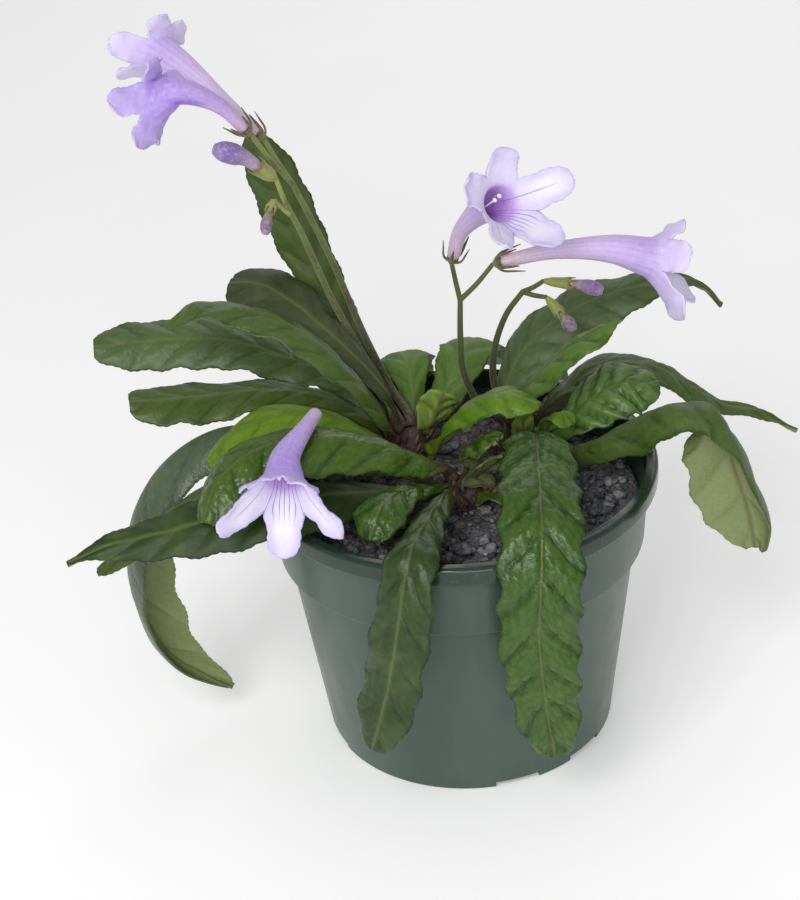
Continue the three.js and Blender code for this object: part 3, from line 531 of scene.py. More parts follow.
def pot_finish():
    """place is the share of the pot's height."""
    made = Finish("pot", Specular_IOR_Level=0.5)
    rise = made.trait("place", 0)
    cloud = made.noise(22, 4)
    fine = made.noise(0.6, 5)
    drawn = made.noise(3, 4, stretch=(1, 1, 0.05))
    colour = made.mix(cloud, (52, 72, 62), (66, 84, 74))
    # Painted shade: the lip, the top few millimetres of the pot, is coloured a darker green than the body.
    colour = made.mix(made.range(rise, 0.93, 0.95), colour, (32, 50, 40))
    colour = made.mix(made.range(drawn, 0.5, 0.8, 0, 0.18), colour, (86, 102, 92))
    dust = made.range(made.noise(1.6, 6), 0.62, 0.8, 0, 0.25)
    made.finish("Base Color", made.mix(dust, colour, (104, 108, 96)))
    satin = made.range(rise, 0.93, 0.95, 0.25, 0.08)
    made.finish("Roughness", made.math("MULTIPLY_ADD", made.noise(7, 5), 0.2, satin))
    made.bump(made.math("MULTIPLY_ADD", fine, 0.5, cloud), 0.12, 0.25)
    return made.material


def soil_finish():
    """form is each lump's own shade, its warmth and 1 on a pale grain."""
    made = Finish("potting_mix", Specular_IOR_Level=0.35)
    shade, warmth, pale = (made.trait("form", i) for i in range(3))
    fine = made.noise(0.7, 6)
    coarse = made.noise(3.5, 5)
    dark = made.ramp(made.math("MULTIPLY_ADD", shade, 0.3, fine), [
        (0.3, (60, 61, 66)), (0.5, (92, 94, 101)), (0.62, (116, 118, 125)), (0.9, (156, 156, 160)),
    ])
    colour = made.mix(made.times(warmth, made.range(coarse, 0.3, 0.6)), dark, (104, 84, 66))
    colour = made.mix(pale, colour, made.mix(fine, (150, 140, 122), (214, 208, 192)))
    made.finish("Base Color", colour)
    made.finish("Roughness", made.range(coarse, 0.3, 0.7, 0.55, 0.85))
    made.bump(made.math("MULTIPLY_ADD", fine, 0.7, made.cells(1.2)), 0.5, 0.9)
    return made.material


def floor_finish():
    made = Finish("paper_floor", Specular_IOR_Level=0.2, Roughness=0.8, Emission_Strength=0.19)
    made.finish("Base Color", made.mix(made.noise(60, 3), (247, 247, 247), (251, 251, 251)))
    made.bump(made.noise(1.5, 3), 0.05, 0.2)
    return made.material


# Camera: the photograph's own view, from a little above the lip and slightly rolled

CAMERA_TARGET = vec(-14.3, 0, 80.3)
CAMERA_DISTANCE = 508
CAMERA_PITCH = math.radians(29.8)
CAMERA_ROLL = math.radians(-4.3)
CAMERA_LENS = 80


def pose(right, up, back, place):
    """The matrix of a camera or light at a place in metres, which faces away from back."""
    columns = np.column_stack([right, up, back, place])
    return Matrix([[*row] for row in np.vstack([columns, [0, 0, 0, 1]])])


def add_camera():
    forward = vec(0, math.cos(CAMERA_PITCH), -math.sin(CAMERA_PITCH))
    level = vec(1, 0, 0)
    above = np.cross(level, forward)
    right = math.cos(CAMERA_ROLL) * level + math.sin(CAMERA_ROLL) * above
    up = math.cos(CAMERA_ROLL) * above - math.sin(CAMERA_ROLL) * level
    place = (CAMERA_TARGET - CAMERA_DISTANCE * forward + POT_AXIS) * MM
    data = bpy.data.cameras.new("camera")
    data.lens = CAMERA_LENS
    data.clip_start, data.clip_end = 0.02, 20
    camera = linked("camera", data)
    camera.matrix_world = pose(right, up, -forward, place)
    bpy.context.scene.camera = camera


# The greens of the leaves, as the eye sees them

GREENS = {
    # The olive green, given to the left_rear leaf, is partly painted shade: it is made darker and duller
    # for a leaf that sits in shadow.
    "dark": (40, 62, 12), "deep": (54, 86, 18), "glossy": (65, 94, 20), "shaded_olive": (60, 70, 38),
    "plain": (72, 91, 34), "middle": (74, 96, 40), "dull": (80, 100, 56), "grey": (80, 95, 74),
    "light": (86, 118, 40), "pale": (92, 124, 58), "fresh": (90, 127, 12), "lime": (104, 140, 16),
    "yellowish": (110, 135, 45),
}

# Leaves: where on which knob each one grows, and the points that its midrib passes through. The
# roll, fold and curl angles are in degrees, the gloss goes from 0 to 1, and blister is the height of
# the swellings between the veins. A leaf's place in the table is the seed of its noise.

LEAF_DEFAULTS = dict(
    tip=0.4, base=0.75, petiole=0.16, fold=-4, curl=(-25, -25), quilt=0.3, wave=0.5, teeth=0.05,
    slant=0.3, roll=(0, 0), gloss=0.5, blister=0.3, young=False,
)

LEAVES = {
    "left_upright": dict(
        knob="left", seat=(114, 38), width=14, veins=8, roll=(0, -40, -45), base=1.1, fold=4,
        green="plain", gloss=0.3, blister=0.25,
        path=[
            (-18, 33, 80), (-22.5, 38, 89), (-29.5, 42, 104), (-35.5, 44, 119), (-42.5, 45, 140.5),
            (-46.5, 46, 150),
        ],
    ),
    "left_rear": dict(
        knob="left", seat=(168, 66), width=21, veins=6, base=1.3, roll=(0, -20, -30), tip=0.32,
        # Its olive green is partly painted shade.
        green="shaded_olive", gloss=0.2, blister=0.25,
        path=[
            (-16.5, 18.5, 87), (-23.5, 20.5, 96.5), (-31.5, 23.5, 104.5), (-40, 28.5, 111),
            (-48, 33.5, 114), (-55.5, 36.5, 113.5),
        ],
    ),
    "left_arching": dict(
        knob="left", seat=(212, 48), width=16, veins=8, roll=(0, -15, -15, 0), fold=-10, tip=0.3,
        green="middle", gloss=0.6,
        path=[
            (-18, 11.5, 84), (-27, 9.5, 100.5), (-37, 13, 109.5), (-46.5, 17, 113.5),
            (-56, 19.5, 115.5), (-64, 20, 116), (-71, 18, 112),
        ],
    ),
    "left_long": dict(
        knob="left", seat=(152, 28), width=17, veins=9, roll=(0, -15, -30), tip=0.3, base=0.62,
        green="dull",
        path=[(-19, 25, 78), (-29, 30, 87), (-42, 33, 92), (-57, 34, 98), (-74, 35, 99), (-93, 34, 99)],
    ),
    "left_low": dict(
        knob="left", seat=(195, 26), width=17, veins=8, roll=(0, -10, -25), tip=0.3, green="plain",
        path=[(-21, 18, 78.5), (-31, 17, 87.5), (-47, 16, 92), (-64, 15, 92), (-82.5, 12, 93.5)],
    ),
    "left_young": dict(
        knob="left", seat=(245, 32), width=19, veins=6, roll=(0, -20, -25, 0), fold=-10, young=True,
        tip=0.2, green="lime", blister=0.35,
        path=[
            (-16, 8, 77), (-26, 4, 86.5), (-36, 1, 92.5), (-46, -2, 93.5), (-55, -5, 91.5),
            (-62.5, -9, 86.5),
        ],
    ),
    "left_hooked": dict(
        knob="left", seat=(222, 10), width=25, veins=9, tip=0.6, roll=(0, 0, 0, 15, 30, 30), fold=-34,
        curl=(-40, -40), green="grey", gloss=0.75,
        path=[
            (-24, 10, 76), (-40, 8, 84), (-60, 8, 86), (-76, 7, 77), (-86, 4, 61), (-87, 2, 41),
            (-80, 1, 22), (-65, 2, 9),
        ],
    ),
    "left_under": dict(
        knob="front", seat=(165, 25), width=11, veins=6, green="plain", gloss=0.4,
        path=[
            (-14, -1, 74.5), (-30, -3.5, 80), (-48, -9, 83), (-62, -12, 79.5), (-79, -14, 69.5),
            (-93, -14, 59.5),
        ],
    ),
    "front_pointed": dict(
        knob="front", seat=(198, 30), width=20, veins=9, tip=0.95, roll=(0, -20, -30), green="dark",
        gloss=0.3, blister=0.2,
        path=[
            (-9, -8, 72), (-20, -13, 76), (-31, -19, 80), (-43, -25, 82.5), (-56, -28, 82),
            (-72, -29, 79), (-86, -30, 77), (-97, -30, 73),
        ],
    ),
    "front_shiny": dict(
        knob="front", seat=(180, 66), width=23, veins=8, tip=0.36, fold=-20, roll=(0, -16, -18, -5),
        green="glossy", gloss=0.9, blister=0.6,
        path=[
            (-6, -6, 79), (-18, -12, 89), (-30, -16, 95), (-41, -19, 96.5), (-51, -23, 95.5),
            (-59, -29, 91), (-62.5, -34.5, 84.5),
        ],
    ),
    "front_small": dict(
        knob="front", seat=(230, 46), width=14, veins=5, base=1.2, green="deep", gloss=1, blister=0.6,
        path=[(-7, -12, 76), (-13, -19, 80), (-18, -26, 82), (-21, -32, 81), (-23, -36, 76.5)],
    ),
    "front_rim": dict(
        knob="front", seat=(258, 26), width=16, veins=9, teeth=0.07, wave=0.7, tip=0.28, green="dark",
        gloss=0.6, blister=0.5,
        path=[
            (-2.5, -14, 75), (-7, -25, 77.5), (-10.5, -37, 79.5), (-13.5, -49, 81), (-16, -54.5, 74),
            (-18.5, -56, 61.5), (-21.5, -56, 47), (-26.5, -54, 28),
        ],
    ),
    "front_tiny": dict(
        knob="front", seat=(303, 34), width=6, veins=3, green="glossy", gloss=0.6,
        path=[(6, -12, 72), (9, -15, 74), (12, -18, 73)],
    ),
    "front_blistered": dict(
        knob="front", seat=(20, 72), width=12, veins=4, quilt=0.5, roll=(0, 20), green="glossy",
        gloss=0.8, blister=0.8,
        path=[(3, 0, 77.5), (4, -3.5, 82), (7, -7, 85.5), (10, -9.5, 87)],
    ),
    "front_inner": dict(
        knob="front", seat=(335, 40), width=9, veins=3, green="glossy", gloss=0.8, blister=0.6,
        path=[(4, -8, 76.5), (7, -11, 80.5), (11, -13, 85)],
    ),
    "front_bright": dict(
        knob="left", seat=(305, 35), width=15, veins=6, fold=-10, roll=(0, 25, 25), young=True,
        green="fresh", gloss=0.6, blister=0.35,
        path=[(-4.5, 9, 77), (-1, 6, 84.5), (5, 3, 91), (13, 0, 94.5), (21.5, -3, 92)],
    ),
    "left_striped": dict(
        knob="left", seat=(350, 60), width=11, veins=4, fold=14, roll=(0, -40), young=True,
        green="yellowish", gloss=0.4,
        path=[(-6, 17, 78), (-4, 16, 83), (-2, 15, 88)],
    ),
    "rear_left": dict(
        knob="left", seat=(80, 36), width=19, veins=6, base=1.1, green="light", gloss=0.3, blister=0.25,
        path=[(-10, 29, 75), (-10, 36, 81), (-11, 45, 84), (-12, 56, 79), (-13, 65, 67)],
    ),
    "rear_right": dict(
        knob="left", seat=(38, 48), width=18, veins=6, green="light", gloss=0.3, blister=0.25,
        path=[(-3, 28, 77), (2, 35, 84), (6, 44, 87), (9, 55, 82), (12, 64, 70)],
    ),
    "right_rear": dict(
        knob="right", seat=(110, 55), width=19, veins=9, tip=1.3, roll=(0, 10, 10, -10), green="dull",
        gloss=0.35,
        path=[(14, 23, 80), (21, 29, 92), (34, 33, 100), (49, 35, 104), (65, 36, 105), (74, 36, 97)],
    ),
    "right_bright": dict(
        knob="right", seat=(40, 52), width=15, veins=6, tip=0.6, roll=(0, 20, 26, 20), green="light",
        gloss=0.6, blister=0.5,
        path=[(18, 15, 84.5), (22.5, 11, 92.5), (28.5, 9, 100), (35, 9, 104), (43.5, 11, 107.5)],
    ),
    "right_quilted": dict(
        knob="right", seat=(358, 34), width=20, veins=7, quilt=0.45, roll=(0, 28, 32, 20), green="pale",
        gloss=0.7, blister=0.75,
        path=[(26, 14, 75), (32, 13, 81), (38.5, 13, 85.5), (45.5, 14, 87.5), (54, 14, 86)],
    ),
    "right_long": dict(
        knob="right", seat=(40, 22), width=15, veins=8, tip=1.1, green="middle", blister=0.45,
        path=[
            (25, 24, 75), (33, 29, 80), (43.5, 33, 83.5), (54.5, 34, 81.5), (63.5, 33, 76),
            (73.5, 31, 69.5), (83, 29, 67.5), (93, 26, 62.5),
        ],
    ),
    "right_hanging": dict(
        knob="right", seat=(322, 14), width=26, veins=9, base=0.9, roll=(0, 10, 10, -20, -62, -78, -80),
        fold=-10, curl=(-80, -10), green="middle", blister=0.45,
        path=[
            (27, 6, 72), (34, 0, 77.5), (41.5, -4, 83.5), (49, -8, 90.5), (56, -11, 94),
            (62, -13, 93.5), (65.5, -15, 87.5), (68.5, -17, 77), (71.5, -18, 66), (73.5, -18, 55),
        ],
    ),
    "right_small": dict(
        knob="right", seat=(335, 55), width=10, veins=3, young=True, green="fresh", gloss=0.4,
        path=[(23, 11, 77), (25, 8, 82), (27.5, 5, 84.5), (29.5, 2, 82.5)],
    ),
    "right_sprout": dict(
        knob="right", seat=(255, 66), width=6, veins=3, young=True, green="yellowish", gloss=0.4,
        blister=0.2,
        path=[(17.5, 9, 78), (17.5, 7, 82.5), (18.5, 6, 86)],
    ),
    "right_broad": dict(
        knob="right", seat=(275, 40), width=20, veins=11, base=0.32, tip=0.28, teeth=0.08, wave=0.8,
        quilt=0.4, curl=(-12, -12), green="deep", gloss=0.9, blister=1.05,
        path=[
            (17.5, 5, 76.5), (19.5, 0, 82), (20, -9, 85.5), (19, -22, 87), (18, -37, 87), (17, -49, 83),
            (16, -55, 73), (15, -56, 58), (16, -56, 40), (18, -54, 21.5),
        ],
    ),
    "back_left": dict(
        knob="left", seat=(132, 14), width=13, veins=6, green="plain", gloss=0.3,
        path=[(-19, 29, 72), (-27, 38, 78), (-35, 47, 81), (-42, 55, 75), (-47, 61, 61)],
    ),
    "back_middle": dict(
        knob="right", seat=(85, 24), width=15, veins=7, green="plain", gloss=0.3,
        path=[(19, 28, 75), (22, 40, 81), (25, 52, 82), (28, 61, 74), (30, 66, 58)],
    ),
}


def seat_on(knob, azimuth, elevation):
    """A point on a knob of the crown, a little clear of it, and the direction that faces out."""
    centre, radii = KNOBS[knob]
    turn, rise = math.radians(azimuth), math.radians(elevation)
    direction = vec(math.cos(rise) * math.cos(turn), math.cos(rise) * math.sin(turn), math.sin(rise))
    return vec(*centre) + (vec(*radii) + CLEARANCE) * direction, direction


def blade_outline(share, base, tip):
    """Half width of a blade as a share of its widest."""
    widest = base / (base + tip)
    rise = (np.maximum(share, 0.002) / widest) ** base
    fall = (np.maximum(1 - share, 0.004) / (1 - widest)) ** tip
    return rise * fall


def make_leaf(name, given, seed):
    leaf = {**LEAF_DEFAULTS, **given}
    blister = leaf["blister"]
    root, direction = seat_on(leaf["knob"], *leaf["seat"])
    spine = np.array([root, root + 2 * direction, *leaf["path"]])
    heading = spine[math.ceil(len(spine) / 2)] - root
    first_side = unit(vec(-heading[1], heading[0], 0))
    length = smooth_curve(spine, 2)[3]
    rows = int(length / LEAF_CELL)
    columns = 2 * max(6, int(leaf["width"] / 2 / LEAF_CELL)) + 1
    line = Line(spine, first_side, rows, leaf["roll"])

    share = line.share[:, None]
    side = np.linspace(-1, 1, columns)[None, :]
    across, sign = np.abs(side), np.sign(side)
    veins, pitch = leaf["veins"], length / leaf["veins"]
    spread = smoothstep(share, 0, leaf["petiole"])
    blade = leaf["width"] / 2 * blade_outline(share, leaf["base"], leaf["tip"])
    half = PETIOLE_HALF_WIDTH * (1 - spread) + np.maximum(blade, LEAST_HALF_WIDTH) * spread

    # Side veins lean forward; between them the blade swells into uneven blisters.
    phase = 2 * np.pi * veins * share
    jitter = 0.1 * noise(stacked(share * veins, side, 0), 0.8, seed)
    leaned = share * veins - VEIN_LEAN * across**0.85 + np.where(sign > 0, 0.12, 0) + jitter
    from_vein = np.abs(leaned % 1 - 0.5) * pitch * 0.8
    from_midrib = across * half
    swell = 1 - np.exp(-((from_vein / 0.9) ** 2))
    walls = cell_walls(leaned * pitch / BLISTER_SIZE, side * half / BLISTER_SIZE, seed)
    bulge = smoothstep(walls, 0, 0.6)
    groove = 1 - np.exp(-((from_midrib / 0.8) ** 2))
    height = (0.55 * swell + 0.45 * bulge) * groove
    vein_mask = np.maximum(
        np.exp(-((from_midrib / 0.55) ** 2)),
        np.exp(-((from_vein / 0.3) ** 2)) * 0.7 * (1 - across**4),
    )

    # The margin is scalloped: broad teeth at the ends of the side veins, and small ones between.
    travelled = share * length
    uneven = 0.8 * noise(stacked(travelled, sign * 5, 0), 5, seed)
    scallops = np.abs(np.sin(np.pi * travelled / TOOTH_PITCH + uneven))
    tooth = 1 + leaf["teeth"] * across**4 * np.cos(phase)
    edge = half * tooth + spread * TOOTH_DEPTH * across**10 * (scallops - 0.6)

    fold = np.radians(leaf["fold"]) * spread
    bend = np.radians(np.where(sign > 0, leaf["curl"][1], leaf["curl"][0])) * spread - 0.001
    sideways = edge * (np.sin(fold + bend * across) - np.sin(fold)) / bend
    raised = edge * (np.cos(fold) - np.cos(fold + bend * across)) / bend
    raised = raised + spread * leaf["quilt"] * np.cos(2 * np.pi * leaned) * np.sin(np.pi * across)
    raised = raised + spread * leaf["wave"] * across**1.5 * np.sin(phase / 2 + np.where(sign > 0, 0, 1.3))
    raised = raised + spread * blister * (height - 0.55) * (1 - across**6)
    forward = spread * leaf["slant"] * across * half * 4 * share * (1 - share)
    points = (
        line.at[:, None]
        + line.side[:, None] * (sign * sideways)[..., None]
        + line.normal[:, None] * raised[..., None]
        + line.along[:, None] * forward[..., None]
    )

    slim = smoothstep(share, 0, leaf["petiole"] + 0.08)
    body = (PETIOLE_THICKNESS + (BLADE_THICKNESS - PETIOLE_THICKNESS) * slim) / 2
    body = body * (1 - 0.55 * across**4)
    keel = KEEL_HEIGHT * (1 - 0.75 * share) * np.exp(-((from_midrib / 0.9) ** 2))
    ribs = 0.3 * spread * np.exp(-((from_vein / 0.45) ** 2)) * (1 - across**3) * groove
    # The blister height handed to the leaf material, which paints it as shade in the hollows and as a
    # highlight on the swellings; it is weaker on smoother leaves.
    shown = 0.6 + (height - 0.6) * min(blister / 0.8, 1)
    body, swollen, share, side, shown, vein_mask = (
        np.broadcast_to(values, points.shape[:2]).ravel()
        for values in (body, body + keel + ribs, share, side, shown, vein_mask)
    )
    shell, faces = thicken(points.reshape(-1, 3), grid_quads(rows, columns), body, swollen)
    share, side, shown, vein_mask = (np.tile(values, 2) for values in (share, side, shown, vein_mask))
    under = np.repeat([0, 1], rows * columns)
    shape = Shape()
    own = tone(*GREENS[leaf["green"]])[:3]
    shape.add(shell, faces, (share, side, under), (shown, vein_mask, leaf["gloss"]), own)
    material, slot = (YOUNG_LEAF, "young_leaf") if leaf["young"] else (LEAF, "leaf")
    shape.piece("blade_" + name, material, "leaf_" + name)


# Flowers: the points that the axis passes through from base to mouth, the way the lower lip faces,
# the radius of the mouth, and the length and lean in degrees of the lobes: the middle of the lower
# lip, its two sides, the upper pair. The depth is that of the violet on the outside.

FLOWERS = {
    "flower_left_upper": dict(
        axis=[(-43.3, 28.5, 156.8), (-50.7, 32, 164.1), (-59.9, 39, 171.1), (-66.4, 45, 173.8)],
        lip=(-0.69, -0.1, -0.72), mouth=4.3, lobe=(11, 11, 7), lean=(42, 42, 75), depth=0,
    ),
    "flower_left_lower": dict(
        axis=[(-46, 21.5, 160.9), (-52.1, 19.5, 168.6), (-61, 18.3, 173), (-65.4, 19.5, 170.9)],
        lip=(0.21, -0.5, -0.84), mouth=4.3, lobe=(10.5, 10.5, 7), lean=(44, 38, 120), depth=0.5,
    ),
    "flower_middle_facing": dict(
        axis=[(2.7, 20, 123.6), (4.6, 16.5, 131.5), (10.5, 8.5, 141), (14, 3, 144.2)],
        lip=(0.51, -0.19, -0.84), mouth=4.8, lobe=(16, 16, 10), lean=(38, 38, 62), depth=0.1,
    ),
    "flower_middle_side": dict(
        axis=[(14.7, 20, 121.2), (28, 15.5, 125.3), (41.9, 13, 125.7), (51.3, 14, 122.3)],
        lip=(-0.33, 0.37, -0.8), mouth=4.8, lobe=(18.5, 15, 9.5), lean=(20, 48, 45), depth=0,
    ),
    "flower_fallen": dict(
        axis=[(-34, -11.5, 99.1), (-37.2, -20, 99), (-41.6, -28, 96.4), (-42.3, -33.5, 93.6)],
        lip=(-0.08, 0.34, -0.94), mouth=4.8, lobe=(17, 17, 12), lean=(42, 42, 45), depth=0.5,
    ),
}

TUBE_ROWS = 44
LOBE_ROWS = 26
LOBE_COLUMNS = 20
# Lobe 0 is the middle of the lower lip, 1 and 4 are its sides, 2 and 3 the short upper pair.
LOBE_KINDS = (0, 1, 2, 2, 1)
# How far each lobe is joined to the next one, as a share of their length.
JOINED_AFTER = (0.32, 0.2, 0.34, 0.2, 0.32)


def lobe_width(share):
    """Half width of a lobe as a share of its half width at the mouth, with a blunt round end."""
    swell = 1 + 0.45 * smoothstep(share, -0.1, 0.7)
    return swell * np.clip(1 - (np.clip(share - 0.64, 0, 1) / 0.362) ** 2.4, 0, 1) ** 0.45


def toward_neighbours(values, kinds, across):
    """A lobe's own value, which changes halfway to its neighbours' at its two sides. The kinds are
    the lobe's own, the one before and the one after."""
    own, before, after = (values[kind] for kind in kinds)
    return own + (np.where(across < 0, before, after) - own) * across**2 / 2


def make_flower(name, flower):
    axis = np.array(flower["axis"])
    direction = unit(axis[1] - axis[0])
    side = unit(np.cross(vec(*flower["lip"]), direction))
    line = Line(axis, side, TUBE_ROWS)
    mouth_at, mouth_along = line.at[-1], line.along[-1]
    mouth_side, mouth_normal = line.side[-1], line.normal[-1]
    mouth = flower["mouth"]

    def outward(turn):
        turn = np.asarray(turn)[..., None]
        return mouth_normal * np.cos(turn) + mouth_side * np.sin(turn)

    across = np.linspace(-1, 1, LOBE_COLUMNS + 1)
    sheet, traits, quads = [], [], []
    for lobe in range(5):
        kinds = [LOBE_KINDS[(lobe + step) % 5] for step in (0, -1, 1)]
        kind = kinds[0]
        length, lean = flower["lobe"][kind], flower["lean"][kind]
        turn = (lobe + across / 2) * 2 * np.pi / 5

        # The sector of the tube behind this lobe, rounded off at its base.
        closing = np.sqrt(np.clip(1 - (1 - np.clip(line.share / 0.035, 0.002, 1)) ** 2, 0, 1))
        radius = mouth * (TUBE_BASE + (1 - TUBE_BASE) * line.share**2) * closing
        ring = line.normal[:, None] * np.cos(turn)[:, None] + line.side[:, None] * np.sin(turn)[:, None]
        tube_part = line.at[:, None] + radius[:, None, None] * ring

        # The lobe itself: a cone near the mouth, where neighbours are joined, then a leaning blade.
        share = np.linspace(0, 1, LOBE_ROWS + 1)[1:]
        angle = np.radians(lean * (0.8 + 0.42 * share))
        step = length / LOBE_ROWS
        out, forth = np.cumsum(np.sin(angle)) * step, np.cumsum(np.cos(angle)) * step
        centre = outward(lobe * 2 * np.pi / 5)
        tangent = np.cross(centre, mouth_along)
        cone_length = toward_neighbours(flower["lobe"], kinds, across)
        cone_lean = toward_neighbours(flower["lean"], kinds, across)
        cone_angle = np.radians(cone_lean * (0.8 + 0.42 * share[:, None]))
        cone_step = cone_length / LOBE_ROWS
        cone = (
            mouth_at
            + outward(turn) * (mouth + np.cumsum(np.sin(cone_angle), axis=0) * cone_step)[..., None]
            + mouth_along * (np.cumsum(np.cos(cone_angle), axis=0) * cone_step)[..., None]
        )
        half = mouth * math.sin(math.pi / 5) * lobe_width(share)[:, None]
        crinkle = 0.035 * np.sin(share[:, None] * 47 + lobe + np.where(across < 0, 2, 0))
        half = half * (1 + crinkle * across**4)
        dish = 0.12 * half * (1 - across**2)
        ruffle = 0.75 * np.sin(share[:, None] * 13 + lobe * 2 + np.where(across < 0, 1.7, 0)) * across**2
        blade = (
            mouth_at
            + centre * (mouth * math.cos(math.pi / 5) + out)[:, None, None]
            + mouth_along * forth[:, None, None]
            + tangent * (across * half)[..., None]
            + (centre * np.cos(angle)[:, None, None] - mouth_along * np.sin(angle)[:, None, None])
            * (dish + ruffle * share[:, None])[..., None]
        )
        start = np.where(across < 0, JOINED_AFTER[lobe - 1], JOINED_AFTER[lobe]) * np.abs(across) ** 1.5
        free = smoothstep(share[:, None], start, start + 0.28)[..., None]
        lobe_part = cone * (1 - free) + blade * free

        part = np.concatenate([tube_part, lobe_part])
        along = np.concatenate([line.share, 1 + share])
        first = sum(len(p) for p in sheet)
        quads.append(grid_quads(*part.shape[:2]) + first)
        sheet.append(part.reshape(-1, 3))
        traits.append(np.stack([
            np.repeat(along, LOBE_COLUMNS + 1), np.tile(across, len(along)),
            np.full(part.shape[0] * part.shape[1], 1 - kind / 2),
        ], -1))
    sheet, traits, quads = np.concatenate(sheet), np.concatenate(traits), np.concatenate(quads)
    _, kept, merged = np.unique(np.round(sheet, 5), axis=0, return_index=True, return_inverse=True)
    half = np.full(len(kept), PETAL_THICKNESS / 2)
    shell, faces = thicken(sheet[kept], merged.ravel()[quads], half, half)
    shape = Shape()
    spread = np.tile(traits[kept], (2, 1))
    inside = np.repeat([0, 1], len(kept))
    shape.add(
        shell, [face for face in faces if len(set(face.tolist())) > 2],
        (spread[:, 0], spread[:, 1], inside), (spread[:, 2], 0, flower["depth"]),
    )

    # Two stamens whose pale anthers meet just inside the mouth.
    for lean in (-1, 1):
        root = line.at[-8] + line.normal[-8] * -mouth * 0.2 + line.side[-8] * lean * mouth * 0.5
        tip = mouth_at - mouth_normal * mouth * 0.35 + mouth_side * lean * 0.5 + mouth_along * 0.4
        middle = (root + tip) / 2 + mouth_side * lean * 0.6
        points, faces, _ = tube([root, middle, tip], (0.22, 0.18, 0.2), 8, 10)
        shape.add(points, faces, (0.8, 0, 0), (0, 1, 0))
        ends = [tip - mouth_side * lean * 0.2, tip + mouth_side * lean * 0.9]
        points, faces, _ = tube(ends, (0.15, 0.5, 0.65, 0.5, 0.15), 10, 9)
        shape.add(points, faces, (0.8, 0, 0), (0, 1, 0))
    shape.piece(name.replace("flower_", "corolla_"), PETAL, name)


# Buds: the points that the axis passes through, the widest radius and how violet the bud is

BUDS = {
    "bud_left_large": dict(
        axis=[(-43.5, 21, 150.8), (-47, 20, 154.2), (-53.8, 18, 157.8)], radius=2.7, violet=1,
    ),
    "bud_left_small": dict(
        axis=[(-41.6, 22, 140), (-43, 21, 137), (-43.8, 20, 133.5)], radius=1.5, violet=0,
    ),
    "bud_middle_long": dict(
        axis=[(31.5, 19.2, 114.2), (35, 19, 113.6), (40.1, 18, 111.9)], radius=1.9, violet=0.6,
    ),
    "bud_middle_short": dict(
        axis=[(28.7, 18.3, 107), (30.2, 17.8, 105), (32.4, 17, 101.8)], radius=1.8, violet=0,
    ),
}


def make_bud(name, bud):
    radii = [part * bud["radius"] for part in BUD_RADII]
    points, faces, share = tube(bud["axis"], radii, 24, 36)
    shape = Shape()
    shape.add(points, faces, (share, 0, 0), (bud["violet"], 0, 0))
    shape.piece(name.replace("bud_", "closed_bud_"), BUD, name)


# Scapes: the line of each stem from the crown, how light it is, and its pedicels. Each pedicel ends
# in a calyx just below what it carries: five sepals round a flower, a closed cup round a bud. It has
# the place where it leaves the stem, what it carries, and the length of its sepals and of its cup.

SCAPES = {
    "scape_left_flowers": dict(
        knob="left", seat=(90, 60), shade=-0.45,
        stem=[(-15.5, 34, 80.5), (-21, 34.5, 95), (-28.6, 31, 121.5), (-36, 26, 144)],
        pedicels=[
            ((-36, 26, 144), "flower_left_upper", 5, 1.6),
            ((-36, 26, 144), "flower_left_lower", 4.5, 1.6),
        ],
    ),
    "scape_left_buds": dict(
        knob="left", seat=(126, 58), shade=0,
        stem=[(-17.5, 31, 80), (-22.5, 33, 92), (-28.9, 32.5, 108), (-34.8, 27, 129.5), (-38, 21, 141)],
        pedicels=[((-38, 21, 141), "bud_left_large", 0, 5), ((-37, 20.7, 138), "bud_left_small", 0, 1.5)],
    ),
    "scape_middle_flowers": dict(
        knob="right", seat=(150, 62), shade=-1.15,
        stem=[(8, 20, 80), (3.8, 20.5, 90), (3.4, 20.5, 100), (3.9, 21, 111)],
        pedicels=[
            ((3.9, 21, 111), "flower_middle_facing", 6, 1.8),
            ((3.9, 21, 111), "flower_middle_side", 6, 1.8),
        ],
    ),
    "scape_middle_buds": dict(
        knob="right", seat=(120, 84), shade=-1.2,
        stem=[(12, 22, 84), (12, 23, 94), (15.5, 22.5, 105), (20, 22, 111.5)],
        pedicels=[
            ((20, 22, 111.5), "bud_middle_long", 0, 6), ((20, 22, 111.5), "bud_middle_short", 0, 4.5),
        ],
    ),
}


